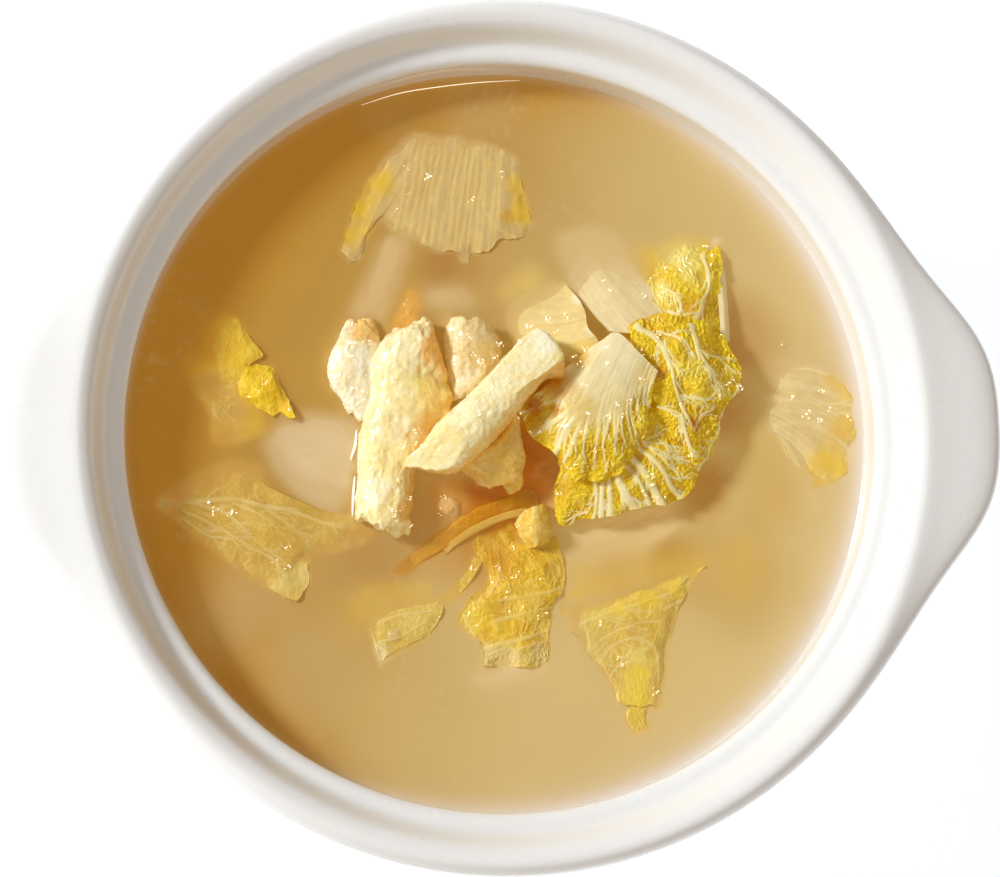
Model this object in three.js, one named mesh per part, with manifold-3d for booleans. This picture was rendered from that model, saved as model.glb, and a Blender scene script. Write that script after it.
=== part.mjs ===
// Pickled cabbage hot pot: a white glazed casserole with two lug handles, filled with broth in which
// battered pork strips and pieces of napa cabbage float. Millimetres, +Z up, +X towards a handle.
// The origin is the middle of the foot's underside.
import * as THREE from "three";
import { mergeVertices } from "three/addons/utils/BufferGeometryUtils.js";
import Module from "manifold-3d";

const wasm = await Module();
wasm.setup();

// The pot.
const potHeight = 94;
const rimRadius = 115;
const brothDepthBelowRim = 22;
const ledgeDepthBelowRim = 8.6; // the step that a lid would sit on
const footRadius = 62;
const footWidth = 7;
const floorHeight = 10; // inside floor above the table
const handleReach = 16.1; // how far a lug stands out past the rim
const handleHalfAngle = 16.8; // degrees from the lug's middle to where it has half its reach
const handleShoulder = 3.6; // how sharply the reach falls off there
const segments = 56;
const crowding = 0.28; // draws the segments together at the lugs

// The contents.
const brothLevel = potHeight - brothDepthBelowRim;
const gap = 0.3; // left between neighbouring solids
const skim = 1.2; // a leaf's face stands at least this far out of the broth it floats on

const glaze = new THREE.MeshStandardMaterial({ color: 0xf3eee7, roughness: 0.15, metalness: 0 });
const soup = new THREE.MeshStandardMaterial({ color: 0xc79f5f, roughness: 0.08, metalness: 0 });
const batter = new THREE.MeshStandardMaterial({ color: 0xf4dda2, roughness: 0.35, metalness: 0 });
const leafYellow = new THREE.MeshStandardMaterial({ color: 0xd8bf52, roughness: 0.3, metalness: 0 });
const stalkPale = new THREE.MeshStandardMaterial({ color: 0xe4d3a0, roughness: 0.3, metalness: 0 });

// ---- solids ----

// A closed geometry as a manifold-3d solid, turned the right way out.
function solidOf(geometry) {
  const bare = geometry.clone();
  bare.deleteAttribute("normal");
  bare.deleteAttribute("uv");
  const merged = mergeVertices(bare, 1e-4);
  const index = merged.index.array;
  const faces = [];
  for (let i = 0; i < index.length; i += 3) {
    const [a, b, c] = index.slice(i, i + 3);
    if (a !== b && b !== c && c !== a) faces.push(a, b, c);
  }
  const make = (list) => {
    const triVerts = new Uint32Array(list);
    const vertProperties = merged.attributes.position.array;
    return new wasm.Manifold(new wasm.Mesh({ numProp: 3, vertProperties, triVerts }));
  };
  const made = make(faces);
  return made.volume() < 0 ? make(faces.reverse()) : made;
}

function geometryOf(solid) {
  const { vertProperties, triVerts } = solid.getMesh();
  const geometry = new THREE.BufferGeometry();
  geometry.setAttribute("position", new THREE.BufferAttribute(vertProperties, 3));
  geometry.setIndex(new THREE.BufferAttribute(triVerts, 1));
  geometry.computeVertexNormals();
  return geometry;
}

// The largest body of a solid that a cut may have left in several.
function mainBody(solid) {
  const bodies = solid.decompose();
  return bodies.reduce((best, body) => (body.volume() > best.volume() ? body : best));
}

// ---- the pot ----

// Points of a cubic curve in the lathe's plane, without its first one.
function bend(from, pullFrom, pullTo, to, steps) {
  const ends = [from, pullFrom, pullTo, to].map(([r, z]) => new THREE.Vector2(r, z));
  return new THREE.CubicBezierCurve(...ends).getPoints(steps).slice(1).map((p) => [p.x, p.y]);
}

// The inside wall from just under the ledge down to the middle of the floor.
const wallTop = [rimRadius - 12.4, potHeight - 11];
const wallFoot = [60, floorHeight + 0.5];
const insideWall = [wallTop, ...bend(wallTop, [91.5, 52], [99, 13], wallFoot, 5), [0, floorHeight]];

// Each point of the section is [radius, height, share of the lug's reach, lift at the lug].
function potSection() {
  const footInside = footRadius - footWidth;
  const ledge = potHeight - ledgeDepthBelowRim;
  const foot = [
    [0, 3.5],
    [footInside - 2, 3.5],
    [footInside, 0],
    [footRadius - 0.7, 0],
    [footRadius + 1, 5],
  ];
  const belly = bend(foot[4], [90, 7], [105, 32], [rimRadius - 7.5, 74], 5);
  const lip = [
    [rimRadius - 6, potHeight - 14.4, 0, 0],
    [rimRadius - 2.2, potHeight - 12.8, 0.45, 2.2],
    [rimRadius, potHeight - 9.8, 0.95, 1.6],
    [rimRadius, potHeight - 5.5, 1, 1],
    [rimRadius - 0.4, potHeight - 2.9, 0.88, 0.6],
    [rimRadius - 1.2, potHeight - 1.1, 0.4, -1.2],
    [rimRadius - 2.4, potHeight - 0.1, 0, 0],
    [rimRadius - 3.3, potHeight, 0, 0],
    [rimRadius - 4.6, potHeight - 1.2, 0, 0],
    [rimRadius - 7.2, ledge + 1.2, 0, 0],
    [rimRadius - 8, ledge, 0, 0],
    [rimRadius - 11.2, ledge - 0.4, 0, 0],
  ];
  return [...foot, ...belly, ...lip, ...insideWall];
}

// Draws a turned geometry's segments together near the lugs, and pulls the lugs out.
function shapeTurning(geometry, section) {
  const position = geometry.attributes.position;
  for (let i = 0; i < position.count; i++) {
    const [radius, height, share = 0, lift = 0] = section[i % section.length];
    const even = (2 * Math.PI * Math.floor(i / section.length)) / segments;
    const angle = even - crowding * Math.sin(2 * even);
    const fromLug = Math.abs(Math.asin(Math.sin(angle))) * THREE.MathUtils.RAD2DEG;
    const lug = 1 / (1 + (fromLug / handleHalfAngle) ** handleShoulder);
    const r = radius + handleReach * share * lug;
    const z = height + lift * lug;
    position.setXYZ(i, r * Math.cos(angle), r * Math.sin(angle), z);
  }
  return geometry;
}

function turned(section) {
  const profile = section.map(([radius, height]) => new THREE.Vector2(radius, height));
  return shapeTurning(new THREE.LatheGeometry(profile, segments), section);
}

// The broth fills the inside up to its level.
function brothSection() {
  const wet = insideWall.filter(([, z]) => z < brothLevel - 4);
  const inset = wet.map(([r, z]) => [Math.max(0, r - gap), z + gap]);
  const edge = 99.5 - gap; // the wall's radius at the level
  return [[0, brothLevel], [edge, brothLevel], ...inset];
}

// ---- cabbage ----

// A blade is lofted between three cross curves, root, middle and tip, each a list of
// [x, y, height above the broth], and its ribs run from the root to the tip.
function bladeSolid(blade, grow) {
  const { ribs = 0, ribHeight = 0.5, columns = 2 * ribs, rows = 4, thick = 1.6 } = blade;
  const { waves = 0, waveHeight = 0 } = blade;
  const curves = [blade.root, blade.middle, blade.tip].map((points) => {
    const places = points.map(([x, y, z]) => new THREE.Vector3(x, y, z));
    return new THREE.CatmullRomCurve3(places, false, "catmullrom", 0.5);
  });
  const across = Array.from({ length: columns + 1 }, (_, i) =>
    curves.map((curve) => curve.getPointAt(i / columns)),
  );
  const place = (i, j) => {
    const t = j / rows;
    const weights = [(1 - t) * (1 - 2 * t), 4 * t * (1 - t), t * (2 * t - 1)];
    const p = new THREE.Vector3();
    across[i].forEach((point, k) => p.addScaledVector(point, weights[k]));
    p.z += ribHeight * Math.cos((2 * Math.PI * ribs * i) / columns) * (ribs > 0);
    p.z += waveHeight * t * t * Math.sin((2 * Math.PI * waves * i) / columns);
    p.z = Math.max(p.z, skim);
    return p;
  };
  // A grown blade is moved out along its edges, for cutting a neighbour with room to spare.
  const edgeShift = (i, j) => {
    const shift = new THREE.Vector3();
    const inward = (other) => place(i, j).sub(other).setZ(0).normalize();
    if (i === 0) shift.add(inward(place(1, j)));
    if (i === columns) shift.add(inward(place(columns - 1, j)));
    if (j === 0) shift.add(inward(place(i, 1)));
    if (j === rows) shift.add(inward(place(i, rows - 1)));
    return shift.multiplyScalar(1.5 * grow);
  };
  const geometry = new THREE.BoxGeometry(1, 1, 1, columns, rows, 1);
  const position = geometry.attributes.position;
  for (let n = 0; n < position.count; n++) {
    const i = Math.round((position.getX(n) + 0.5) * columns);
    const j = Math.round((0.5 - position.getY(n)) * rows);
    const p = place(i, j).add(edgeShift(i, j));
    const z = position.getZ(n) > 0 ? p.z + grow : Math.max(p.z - thick, gap) - grow;
    position.setXYZ(n, p.x, p.y, brothLevel + z);
  }
  return solidOf(geometry);
}

// ---- pork ----

// A strip is a round form bent along its stations, each [x, y, height above the broth,
// half width, half depth].
function stripSolid({ stations, sides = 12, squareness = 0.8 }, grow) {
  const places = stations.map(([x, y, z]) => new THREE.Vector3(x, y, brothLevel + z));
  const sizes = stations.map(([, , , w, h]) => new THREE.Vector3(w, h, 0));
  const spine = new THREE.CatmullRomCurve3(places, false, "catmullrom", 0.5);
  const size = new THREE.CatmullRomCurve3(sizes, false, "catmullrom", 0.5);
  const heading = spine.getPoint(1).sub(spine.getPoint(0)).setZ(0).normalize(); // end to end
  const rows = stations.length;
  const boxy = (value) => Math.sign(value) * Math.abs(value) ** squareness;
  const geometry = new THREE.SphereGeometry(1, sides, rows);
  const position = geometry.attributes.position;
  for (let n = 0; n < position.count; n++) {
    const y = THREE.MathUtils.clamp(position.getY(n), -1, 1);
    const along = Math.acos(y) / Math.PI;
    const pole = Math.abs(y) > 1 - 1e-9;
    const turn = Math.atan2(position.getZ(n), position.getX(n));
    const centre = spine.getPoint(along);
    const { x: width, y: depth } = size.getPoint(along);
    const lump = 1 + 0.05 * Math.sin(3 * turn + 9 * along);
    const side = pole ? 0 : boxy(Math.cos(turn)) * (width * lump + grow);
    const up = pole ? 0 : boxy(Math.sin(turn)) * (depth * lump + grow);
    const ahead = pole ? -y * grow : 0;
    position.setXYZ(
      n,
      centre.x - heading.y * side + heading.x * ahead,
      centre.y + heading.x * side + heading.y * ahead,
      centre.z + up,
    );
  }
  return solidOf(geometry);
}

// ---- the pieces, from the top of the heap down ----

const food = [
  {
    name: "pork_strip_cross",
    material: batter,
    strips: [
      {
        stations: [
          [15.5, 25.5, 10, 4, 5],
          [12, 23, 10, 7.5, 6.5],
          [7, 18.5, 9.5, 8, 6.8],
          [0, 12.5, 9.5, 7.5, 6.8],
          [-7, 6, 9.5, 7.5, 6.5],
          [-14, 0, 10, 7.5, 5.5],
          [-19.5, -3.5, 10.5, 5.5, 4],
          [-24.5, -6, 10.5, 2, 2.5],
        ],
      },
    ],
  },
  {
    name: "leaf_fan",
    material: leafYellow,
    blades: [
      {
        ribs: 8,
        thick: 2,
        waves: 4,
        waveHeight: 0.8,
        root: [[27, 25.5, 9], [31.5, 28.5, 11], [37, 23.5, 12.5], [42.5, 18.5, 12]],
        middle: [[15.5, 13.5, 9.5], [25, 8, 14], [35.5, 9.5, 14.6], [41, 14, 13]],
        tip: [[8, 2.5, 7], [17, -7.5, 8.5], [28.5, -9, 10], [38.5, 0, 11.5], [45.5, 15, 11.5]],
      },
    ],
  },
  {
    name: "leaf_frill",
    material: leafYellow,
    blades: [
      {
        ribs: 5,
        thick: 2,
        waves: 3,
        waveHeight: 1,
        root: [[33.5, 29, 7], [41, 30, 9], [51.5, 30.5, 9], [60.5, 27, 4]],
        middle: [[44, 15, 9], [52, 14, 12], [60.5, 15.5, 8], [66.5, 17, 4.5]],
        tip: [[50.5, -3.5, 6.5], [55.5, -7, 4], [58.5, -0.5, 6], [61, 11, 6]],
      },
    ],
  },
  {
    name: "leaf_under",
    material: leafYellow,
    blades: [
      {
        ribs: 7,
        ribHeight: 0.6,
        thick: 2,
        root: [[27.5, 6, 7], [37, 11, 9], [47, 12.5, 8]],
        middle: [[20.5, -2.5, 6], [28.5, -7, 8], [42.5, -2, 8], [49.5, 3.5, 7]],
        tip: [
          [15, -10, 4],
          [16, -18, 3.5],
          [25.5, -20, 4],
          [38.5, -18, 4.8],
          [50.5, -12.5, 5],
          [53.5, -5.5, 5],
        ],
      },
    ],
  },
  {
    name: "pork_lump_front",
    material: batter,
    strips: [
      {
        stations: [
          [5, 4.5, 3, 2.5, 5],
          [3, 0, 3, 5.5, 7],
          [0.5, -4, 2, 7.5, 7.5],
          [-3, -7.5, 1, 6, 7],
          [-5.5, -10, 0, 2.5, 5],
        ],
      },
    ],
  },
  {
    name: "pork_strip_long",
    material: batter,
    strips: [
      {
        stations: [
          [-19, 34, 3, 1.5, 3],
          [-23, 29.5, 2, 5.5, 6],
          [-23, 25, 1, 8.5, 8],
          [-23, 18.5, 1, 10.5, 8.5],
          [-24, 12, 1, 11, 8.5],
          [-26.5, 5.5, 1, 10, 8.5],
          [-28, -1, 1, 9, 8.5],
          [-28.5, -8, 0.5, 8.5, 8.5],
          [-28.5, -15.5, 0.5, 8, 8.5],
          [-29.5, -21, 0, 7.5, 8],
          [-29, -24, 0, 5, 6],
        ],
      },
    ],
  },
  {
    name: "pork_lump_back",
    material: batter,
    strips: [
      {
        stations: [
          [-4.5, 34.5, 0, 2, 4],
          [-4.5, 30, 0, 7, 7],
          [-4.5, 25, 0, 8, 7.5],
          [-6, 20, 0, 6.5, 7],
          [-8, 16, 0, 3, 5],
        ],
      },
    ],
  },
  {
    name: "stem_striped",
    material: stalkPale,
    blades: [
      {
        ribs: 6,
        thick: 2.4,
        root: [[6, 37.5, -1.6], [12.5, 41, -0.6], [19, 43.5, 0.4]],
        middle: [[10.5, 26.5, 2], [18, 29.5, 4], [26, 31, 4.6]],
        tip: [[6.5, 9, 1.5], [14, 11, 3], [21.5, 15, 4.5], [28.5, 24, 6]],
      },
    ],
  },
  {
    name: "stem_pale",
    material: stalkPale,
    blades: [
      {
        ribs: 3,
        thick: 3,
        root: [[19, 49, -8], [24.5, 53, -8], [31, 54.5, -7]],
        middle: [[26, 38.5, -2], [33, 43, -1.4], [41.5, 44, -2]],
        tip: [[31.5, 29.5, 3.5], [41, 29.5, 5.5], [51.5, 31.5, 5]],
      },
    ],
  },
  {
    name: "leaf_upper",
    material: leafYellow,
    blades: [
      {
        ribs: 5,
        root: [[40.5, 48, -5], [46.5, 51.5, -4], [53.5, 53.5, -3], [60.5, 53, -2]],
        middle: [[43.5, 39.5, -0.4], [49.5, 40, 2.6], [55.5, 38.5, 4], [61.5, 39.5, 1]],
        tip: [[48, 30, 4], [52, 26, 5.4], [56, 24.5, 5.4], [62, 27, 2]],
      },
    ],
  },
  {
    name: "pork_lump_left",
    material: batter,
    strips: [
      {
        stations: [
          [-38, 31.5, -0.5, 2, 3],
          [-39, 25.5, -0.5, 5.5, 4.5],
          [-40, 20, -1, 6, 5],
          [-39.5, 13.5, -1, 5.5, 4.5],
          [-38, 7.5, -1, 3, 3.5],
          [-36.5, 5, -1, 1.5, 2.5],
        ],
      },
    ],
  },
  {
    name: "leaf_curl",
    material: leafYellow,
    blades: [
      {
        ribs: 2,
        columns: 6,
        root: [[-27, -33.5, -0.2], [-25, -35, -0.2]],
        middle: [[-12.5, -20.5, 1], [-8.5, -25, 1.8]],
        tip: [[9, -12.5, 2.6], [13.5, -16, 3.4], [12, -20.5, 3]],
      },
      {
        ribs: 1,
        columns: 4,
        root: [[-14.5, -26.5, 0.8], [-13, -29, 0.4]],
        middle: [[-4.5, -20, 1.6], [-2.5, -22.5, 1.2]],
        tip: [[8, -17, 2.6], [9, -20, 2.2]],
      },
    ],
    strips: [
      {
        sides: 8,
        stations: [
          [9, -23.5, 2.8, 3, 2],
          [11, -20, 3.2, 4.2, 2.6],
          [13.5, -15.5, 3, 3, 2],
        ],
      },
    ],
  },
  {
    name: "leaf_bottom_mid",
    material: leafYellow,
    blades: [
      {
        ribs: 6,
        root: [[5.5, -29, 1], [3, -36, 1.2], [-9, -45, 0.6], [-4, -53.5, 0.8], [-4.5, -60.5, -1.2]],
        middle: [[12, -28, 1.2], [6, -41.5, 2.8], [5, -54, 2.6], [5, -61, -0.8]],
        tip: [[18.5, -27.5, 1.2], [18, -38.5, 2.8], [14.5, -53, 1.8], [13, -61, -0.6]],
      },
    ],
  },
  {
    name: "leaf_rib_top",
    material: stalkPale,
    blades: [
      {
        ribs: 10,
        ribHeight: 0.4,
        thick: 2,
        root: [[-21.5, 82, -0.6], [-13, 82.5, 0], [-3, 81, 0.4], [6.5, 76, -0.4]],
        middle: [[-38, 64.5, -0.4], [-28.5, 65, 0.8], [-14, 66, 3], [0, 66.5, 2.2], [8, 68.5, -0.2]],
        tip: [
          [-41.5, 50, -0.6],
          [-34.5, 53.5, 0],
          [-27.5, 56, 1.6],
          [-15, 51, 2.8],
          [-2.5, 50, 2.6],
          [10, 58.5, -0.4],
        ],
      },
    ],
  },
  {
    name: "leaf_left",
    material: leafYellow,
    blades: [
      {
        ribs: 4,
        root: [[-76, 34.5, -1.2], [-78.5, 26, -1.6], [-81, 14, -0.4], [-76, 7, 0.6], [-74.5, -0.5, -0.4]],
        middle: [[-71.5, 35, -0.8], [-71, 26.5, 1], [-72, 17.5, 0.8], [-69.5, 5.5, -0.8], [-69, 0, -1.6]],
        tip: [[-67.5, 33.5, -0.4], [-61.5, 24, 3], [-65.5, 19.5, 1], [-65, 12.5, -0.6], [-59, 5.5, -2]],
      },
      {
        ribs: 2,
        columns: 6,
        thick: 2.4,
        root: [[-68.5, 22, 2.2], [-69.5, 17, 2.4], [-67.5, 12, 2]],
        middle: [[-63.5, 22, 3.4], [-63.5, 16, 4], [-64, 9, 2.8]],
        tip: [[-59, 20.5, 3], [-56, 14.5, 3.8], [-53, 7.5, 3], [-62.5, 7, 1.6]],
      },
    ],
  },
  {
    name: "leaf_lower_left",
    material: leafYellow,
    blades: [
      {
        ribs: 6,
        waves: 3,
        waveHeight: 0.5,
        root: [[-87.5, -14, -0.8], [-89.5, -16, 0], [-87.5, -18.5, -0.2]],
        middle: [[-76, -6, -2], [-69, -14.5, 1.4], [-69, -26.5, 1.2], [-73.5, -30.5, -0.4]],
        tip: [
          [-62.5, -9, 0.4],
          [-61, -15, 1.6],
          [-39.5, -22, 0.4],
          [-50, -32.5, 2.2],
          [-50, -38.5, 2],
          [-62.5, -38, 0],
        ],
      },
    ],
  },
  {
    name: "leaf_right",
    material: stalkPale,
    blades: [
      {
        ribs: 6,
        waves: 2,
        waveHeight: 0.5,
        root: [[76, 21.5, -0.4], [74.5, 14, 0.8], [73.5, 6.5, 0.6]],
        middle: [[86.5, 20, 0.2], [87.5, 13.5, 1.8], [84.5, -0.5, 1.8], [81.5, -6, 0.2]],
        tip: [[95.5, 17, 0.4], [97, 6.5, 1], [95.5, -3, 1.6], [89.5, -11, 1], [84.5, -11.5, 0]],
      },
      {
        ribs: 1,
        columns: 4,
        root: [[74, 5.5, -0.2], [78.5, 3.5, 0.2]],
        middle: [[78, -5.5, -0.8], [82.5, -5.5, 0.4]],
        tip: [[82.5, -18, -0.8], [86, -18, 0]],
      },
    ],
  },
  {
    name: "leaf_bottom",
    material: leafYellow,
    blades: [
      {
        ribs: 5,
        thick: 1.8,
        root: [[17.5, -43.5, 0], [29.5, -42, 0.6], [42, -38.5, 2], [56, -34, 2.2]],
        middle: [[24, -54.5, 0.6], [32.5, -54.5, 1.6], [40, -52.5, 3], [47, -50, 1.6]],
        tip: [[31.5, -65.5, 0.4], [33, -70, 0.8], [39, -70.5, 1.8], [45.5, -70, 0.6]],
      },
      {
        ribs: 1,
        columns: 4,
        root: [[37, -69, 1], [40.5, -69, 1]],
        middle: [[34.5, -74.5, 0], [41, -74, 0]],
        tip: [[38, -78, -0.6], [42, -77.5, -0.6]],
      },
    ],
  },
  {
    name: "leaf_small",
    material: leafYellow,
    blades: [
      {
        ribs: 3,
        root: [[-40.5, -45, -2.6], [-40, -50, -2.6], [-35.5, -55.5, -2]],
        middle: [[-29.5, -43, -0.6], [-31.5, -50.5, 1.2], [-30.5, -60, 0.4]],
        tip: [[-13.5, -41, 0.8], [-13, -44, 1.2], [-14.5, -48, 0.6]],
      },
      {
        ribs: 1,
        columns: 4,
        root: [[-16, -41.5, 0.8], [-15.5, -44.5, 0.8]],
        middle: [[-10, -37.5, 0.4], [-9, -39.5, 0.4]],
        tip: [[-6, -33, 0], [-4.5, -34, 0]],
      },
    ],
  },
];

// All the parts of one piece joined, grown on every side when it is to cut a neighbour.
function foodSolid({ blades = [], strips = [] }, grow = 0) {
  const parts = [
    ...blades.map((part) => bladeSolid(part, grow)),
    ...strips.map((part) => stripSolid(part, grow)),
  ];
  return parts.reduce((whole, part) => whole.add(part));
}

const casserole = new THREE.Group();
const pot = new THREE.Mesh(geometryOf(solidOf(turned(potSection()))), glaze);
pot.name = "pot";
casserole.add(pot);

// Each piece gives way to those above it, and the broth to all of them.
const contents = new THREE.Group();
const above = [];
for (const piece of food) {
  const cut = above.reduce((rest, upper) => rest.subtract(upper), foodSolid(piece));
  const mesh = new THREE.Mesh(geometryOf(mainBody(cut)), piece.material);
  mesh.name = piece.name;
  contents.add(mesh);
  above.push(foodSolid(piece, gap));
}
const sunk = above.filter((piece) => piece.boundingBox().min[2] < brothLevel - gap);
const brothCut = sunk.reduce((rest, piece) => rest.subtract(piece), solidOf(turned(brothSection())));
const broth = new THREE.Mesh(geometryOf(mainBody(brothCut)), soup);
broth.name = "broth";
contents.add(broth);
casserole.add(contents);

export default casserole;
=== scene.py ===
# Pickled cabbage hot pot: the glaze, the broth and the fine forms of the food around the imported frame.
import math

import bpy
import numpy as np
from mathutils import Matrix, Vector


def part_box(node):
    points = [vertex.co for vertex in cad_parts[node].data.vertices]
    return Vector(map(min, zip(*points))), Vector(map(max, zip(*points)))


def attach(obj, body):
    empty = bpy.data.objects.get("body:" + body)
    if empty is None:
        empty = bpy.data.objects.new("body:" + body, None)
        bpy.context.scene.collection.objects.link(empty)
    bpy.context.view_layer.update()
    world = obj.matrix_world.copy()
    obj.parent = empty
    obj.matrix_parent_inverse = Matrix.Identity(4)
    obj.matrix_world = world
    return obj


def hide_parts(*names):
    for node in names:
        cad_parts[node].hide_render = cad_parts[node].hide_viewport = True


scene = bpy.context.scene
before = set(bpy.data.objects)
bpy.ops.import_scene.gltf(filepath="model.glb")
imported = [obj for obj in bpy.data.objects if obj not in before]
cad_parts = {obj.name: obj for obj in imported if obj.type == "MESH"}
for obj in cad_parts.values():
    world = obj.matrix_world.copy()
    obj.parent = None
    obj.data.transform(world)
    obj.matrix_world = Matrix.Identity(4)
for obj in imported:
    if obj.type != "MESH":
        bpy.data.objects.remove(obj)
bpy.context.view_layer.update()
print("frame loaded:", len(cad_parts), "nodes")

# Lengths below are millimetres on a pot whose rim has this radius. Heights of food are above the broth.
rimRadius = 115
potHeight = 94
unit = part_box("pot")[1].z / potHeight
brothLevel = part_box("broth")[1].z / unit
triangles = {}


def rgb(red, green, blue):  # a colour given from 0 to 255, as light
    c = np.array([red, green, blue]) / 255
    return np.where(c > 0.04045, ((c + 0.055) / 1.055) ** 2.4, c / 12.92)


def smooth(low, high, value):  # from 0 at low to 1 at high, which may be the lower number
    t = np.clip((value - low) / (high - low), 0, 1)
    return t * t * (3 - 2 * t)


def mix(first, second, share):  # of numbers or of colours
    share = np.asarray(share)[..., None] if np.ndim(share) else share
    return first * (1 - share) + second * share


def lattice(cell, seed):  # a random number from 0 to 1 for each whole-numbered cell
    a, b, c = (cell[..., k].astype(np.int64) for k in range(3))
    h = (a * 73856093) ^ (b * 19349663) ^ (c * 83492791) ^ (seed * 40503 + 977)
    h = ((h ^ (h >> 13)) * 1274126177) & 0x7FFFFFFF
    return ((h ^ (h >> 15)) & 0xFFFF) / 65535


def noise(points, size, seed=0, octaves=1):  # smooth bumps about that far apart, from -1 to 1
    total = np.zeros(points.shape[:-1])
    share, norm = 1.0, 0.0
    for octave in range(octaves):
        p = points / (size / 2**octave) + 31.7 * octave
        whole = np.floor(p)
        part = p - whole
        part = part * part * (3 - 2 * part)
        for corner in np.ndindex(2, 2, 2):
            weight = np.prod(np.where(corner, part, 1 - part), axis=-1)
            total += share * weight * (2 * lattice(whole + corner, seed + octave) - 1)
        norm += share
        share *= 0.5
    return total / norm * 1.4


def curls(points, size, seed=0):  # thin crests that wander, from 0 to 1
    drift = np.stack([noise(points, size * 2, seed + k) for k in (1, 2, 3)], axis=-1)
    bent = points + drift * size * 0.8
    first, second, third = (1 - np.abs(noise(bent, size / 1.8**k, seed + 4 + k)) for k in range(3))
    return np.clip(0.42 * first**4 + 0.4 * second**3 + 0.3 * third**2 * second, 0, 1)


def blurred(field, sigma):  # sigma in steps of the grid
    reach = int(3 * sigma) + 1
    weight = np.exp(-0.5 * (np.arange(-reach, reach + 1) / sigma) ** 2)
    weight /= weight.sum()
    for axis in (0, 1):
        margins = [(reach, reach) if k == axis else (0, 0) for k in range(field.ndim)]
        padded = np.pad(field, margins, mode="edge")
        steps = np.arange(field.shape[axis])
        field = sum(w * np.take(padded, steps + k, axis=axis) for k, w in enumerate(weight))
    return field


def denser(field, times):  # a grid with that many steps for each one
    for axis in (0, 1):
        at = np.linspace(0, field.shape[axis] - 1, (field.shape[axis] - 1) * times + 1)
        k = np.minimum(at.astype(int), field.shape[axis] - 2)
        share = (at - k).reshape([-1 if other == axis else 1 for other in range(field.ndim)])
        field = np.take(field, k, axis) * (1 - share) + np.take(field, k + 1, axis) * share
    return field


def paintedToneAndShading(look, place, spots, grain, seed):  # each spot gives the thing's own tone, painted shade or painted light: where, how far, colour and share
    wander = 0.25 * noise(place, grain, seed, 2)
    for (x, y), reach, colour, share in spots:
        near = np.hypot(place[..., 0] - x, place[..., 1] - y) / reach
        look = mix(look, colour, share * smooth(1.25, 0.2, near + wander))
    return look


def spline(points, count):  # that many even points of a smooth curve through the given ones
    p = np.asarray(points, float)
    p = np.concatenate([[2 * p[0] - p[1]], p, [2 * p[-1] - p[-2]]])
    at = np.linspace(0, len(p) - 3, 24 * (len(p) - 3) + 1)
    k = np.minimum(at.astype(int), len(p) - 4)
    t = (at - k)[:, None]
    a, b, c, d = (p[k + n] for n in range(4))
    fine = 0.5 * (2 * b + (c - a) * t + (2 * a - 5 * b + 4 * c - d) * t**2 + (3 * b - a - 3 * c + d) * t**3)
    step = np.linalg.norm(np.diff(fine[:, :3], axis=0), axis=1)
    length = np.concatenate([[0], np.cumsum(step)])
    wanted = np.linspace(0, length[-1], count)
    return np.stack([np.interp(wanted, length, column) for column in fine.T], axis=1)


def strip(first, second):  # quads between two rows of vertex numbers
    return np.stack([first[:-1], first[1:], second[1:], second[:-1]], axis=1)


def gridFaces(grid, closed=False):  # quads between the rows of an array of vertex numbers
    if closed:
        grid = np.concatenate([grid, grid[:, :1]], axis=1)
    return np.concatenate([strip(grid[i], grid[i + 1]) for i in range(len(grid) - 1)])


def gridNormals(p):  # of a grid of points, across by along
    n = np.cross(np.gradient(p, axis=0), np.gradient(p, axis=1))
    return n / np.maximum(np.linalg.norm(n, axis=-1, keepdims=True), 1e-9)


def addPiece(name, points, faces, tint=None):  # faces come in blocks of as many corners each
    mesh = bpy.data.meshes.new(name)
    mesh.vertices.add(len(points))
    mesh.vertices.foreach_set("co", (np.asarray(points) * unit).ravel())
    loops = np.concatenate([block.ravel() for block in faces])
    sizes = np.concatenate([np.full(len(block), block.shape[1]) for block in faces])
    mesh.loops.add(len(loops))
    mesh.loops.foreach_set("vertex_index", loops.astype(np.int32))
    mesh.polygons.add(len(sizes))
    starts = np.concatenate([[0], np.cumsum(sizes)[:-1]])
    mesh.polygons.foreach_set("loop_start", starts.astype(np.int32))
    mesh.polygons.foreach_set("use_smooth", np.ones(len(sizes), bool))
    mesh.update(calc_edges=True)
    mesh.validate()
    if tint is not None:
        layer = mesh.color_attributes.new("tint", "FLOAT_COLOR", "POINT")
        layer.data.foreach_set("color", np.clip(tint, 0, 1).ravel())
    piece = bpy.data.objects.new(name, mesh)
    scene.collection.objects.link(piece)
    triangles[name] = int((sizes - 2).sum())
    return piece


def settle(piece, material, slotName, *nodes):  # onto the pot's body, in place of those nodes
    piece.data.materials.append(material)
    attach(piece, "root")
    if nodes:
        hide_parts(*nodes)


class Wire:  # a node's output that sums can be written on
    def __init__(self, finish, socket):
        self.finish = finish
        self.socket = socket

    def combine(self, operation, first, second):
        return self.finish.node("Math", {"operation": operation}, {0: first, 1: second})

    def __add__(self, other):
        return self.combine("ADD", self, other)

    def __sub__(self, other):
        return self.combine("SUBTRACT", self, other)

    def __rsub__(self, other):
        return self.combine("SUBTRACT", other, self)

    def __mul__(self, other):
        return self.combine("MULTIPLY", self, other)

    __radd__ = __add__
    __rmul__ = __mul__


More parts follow.
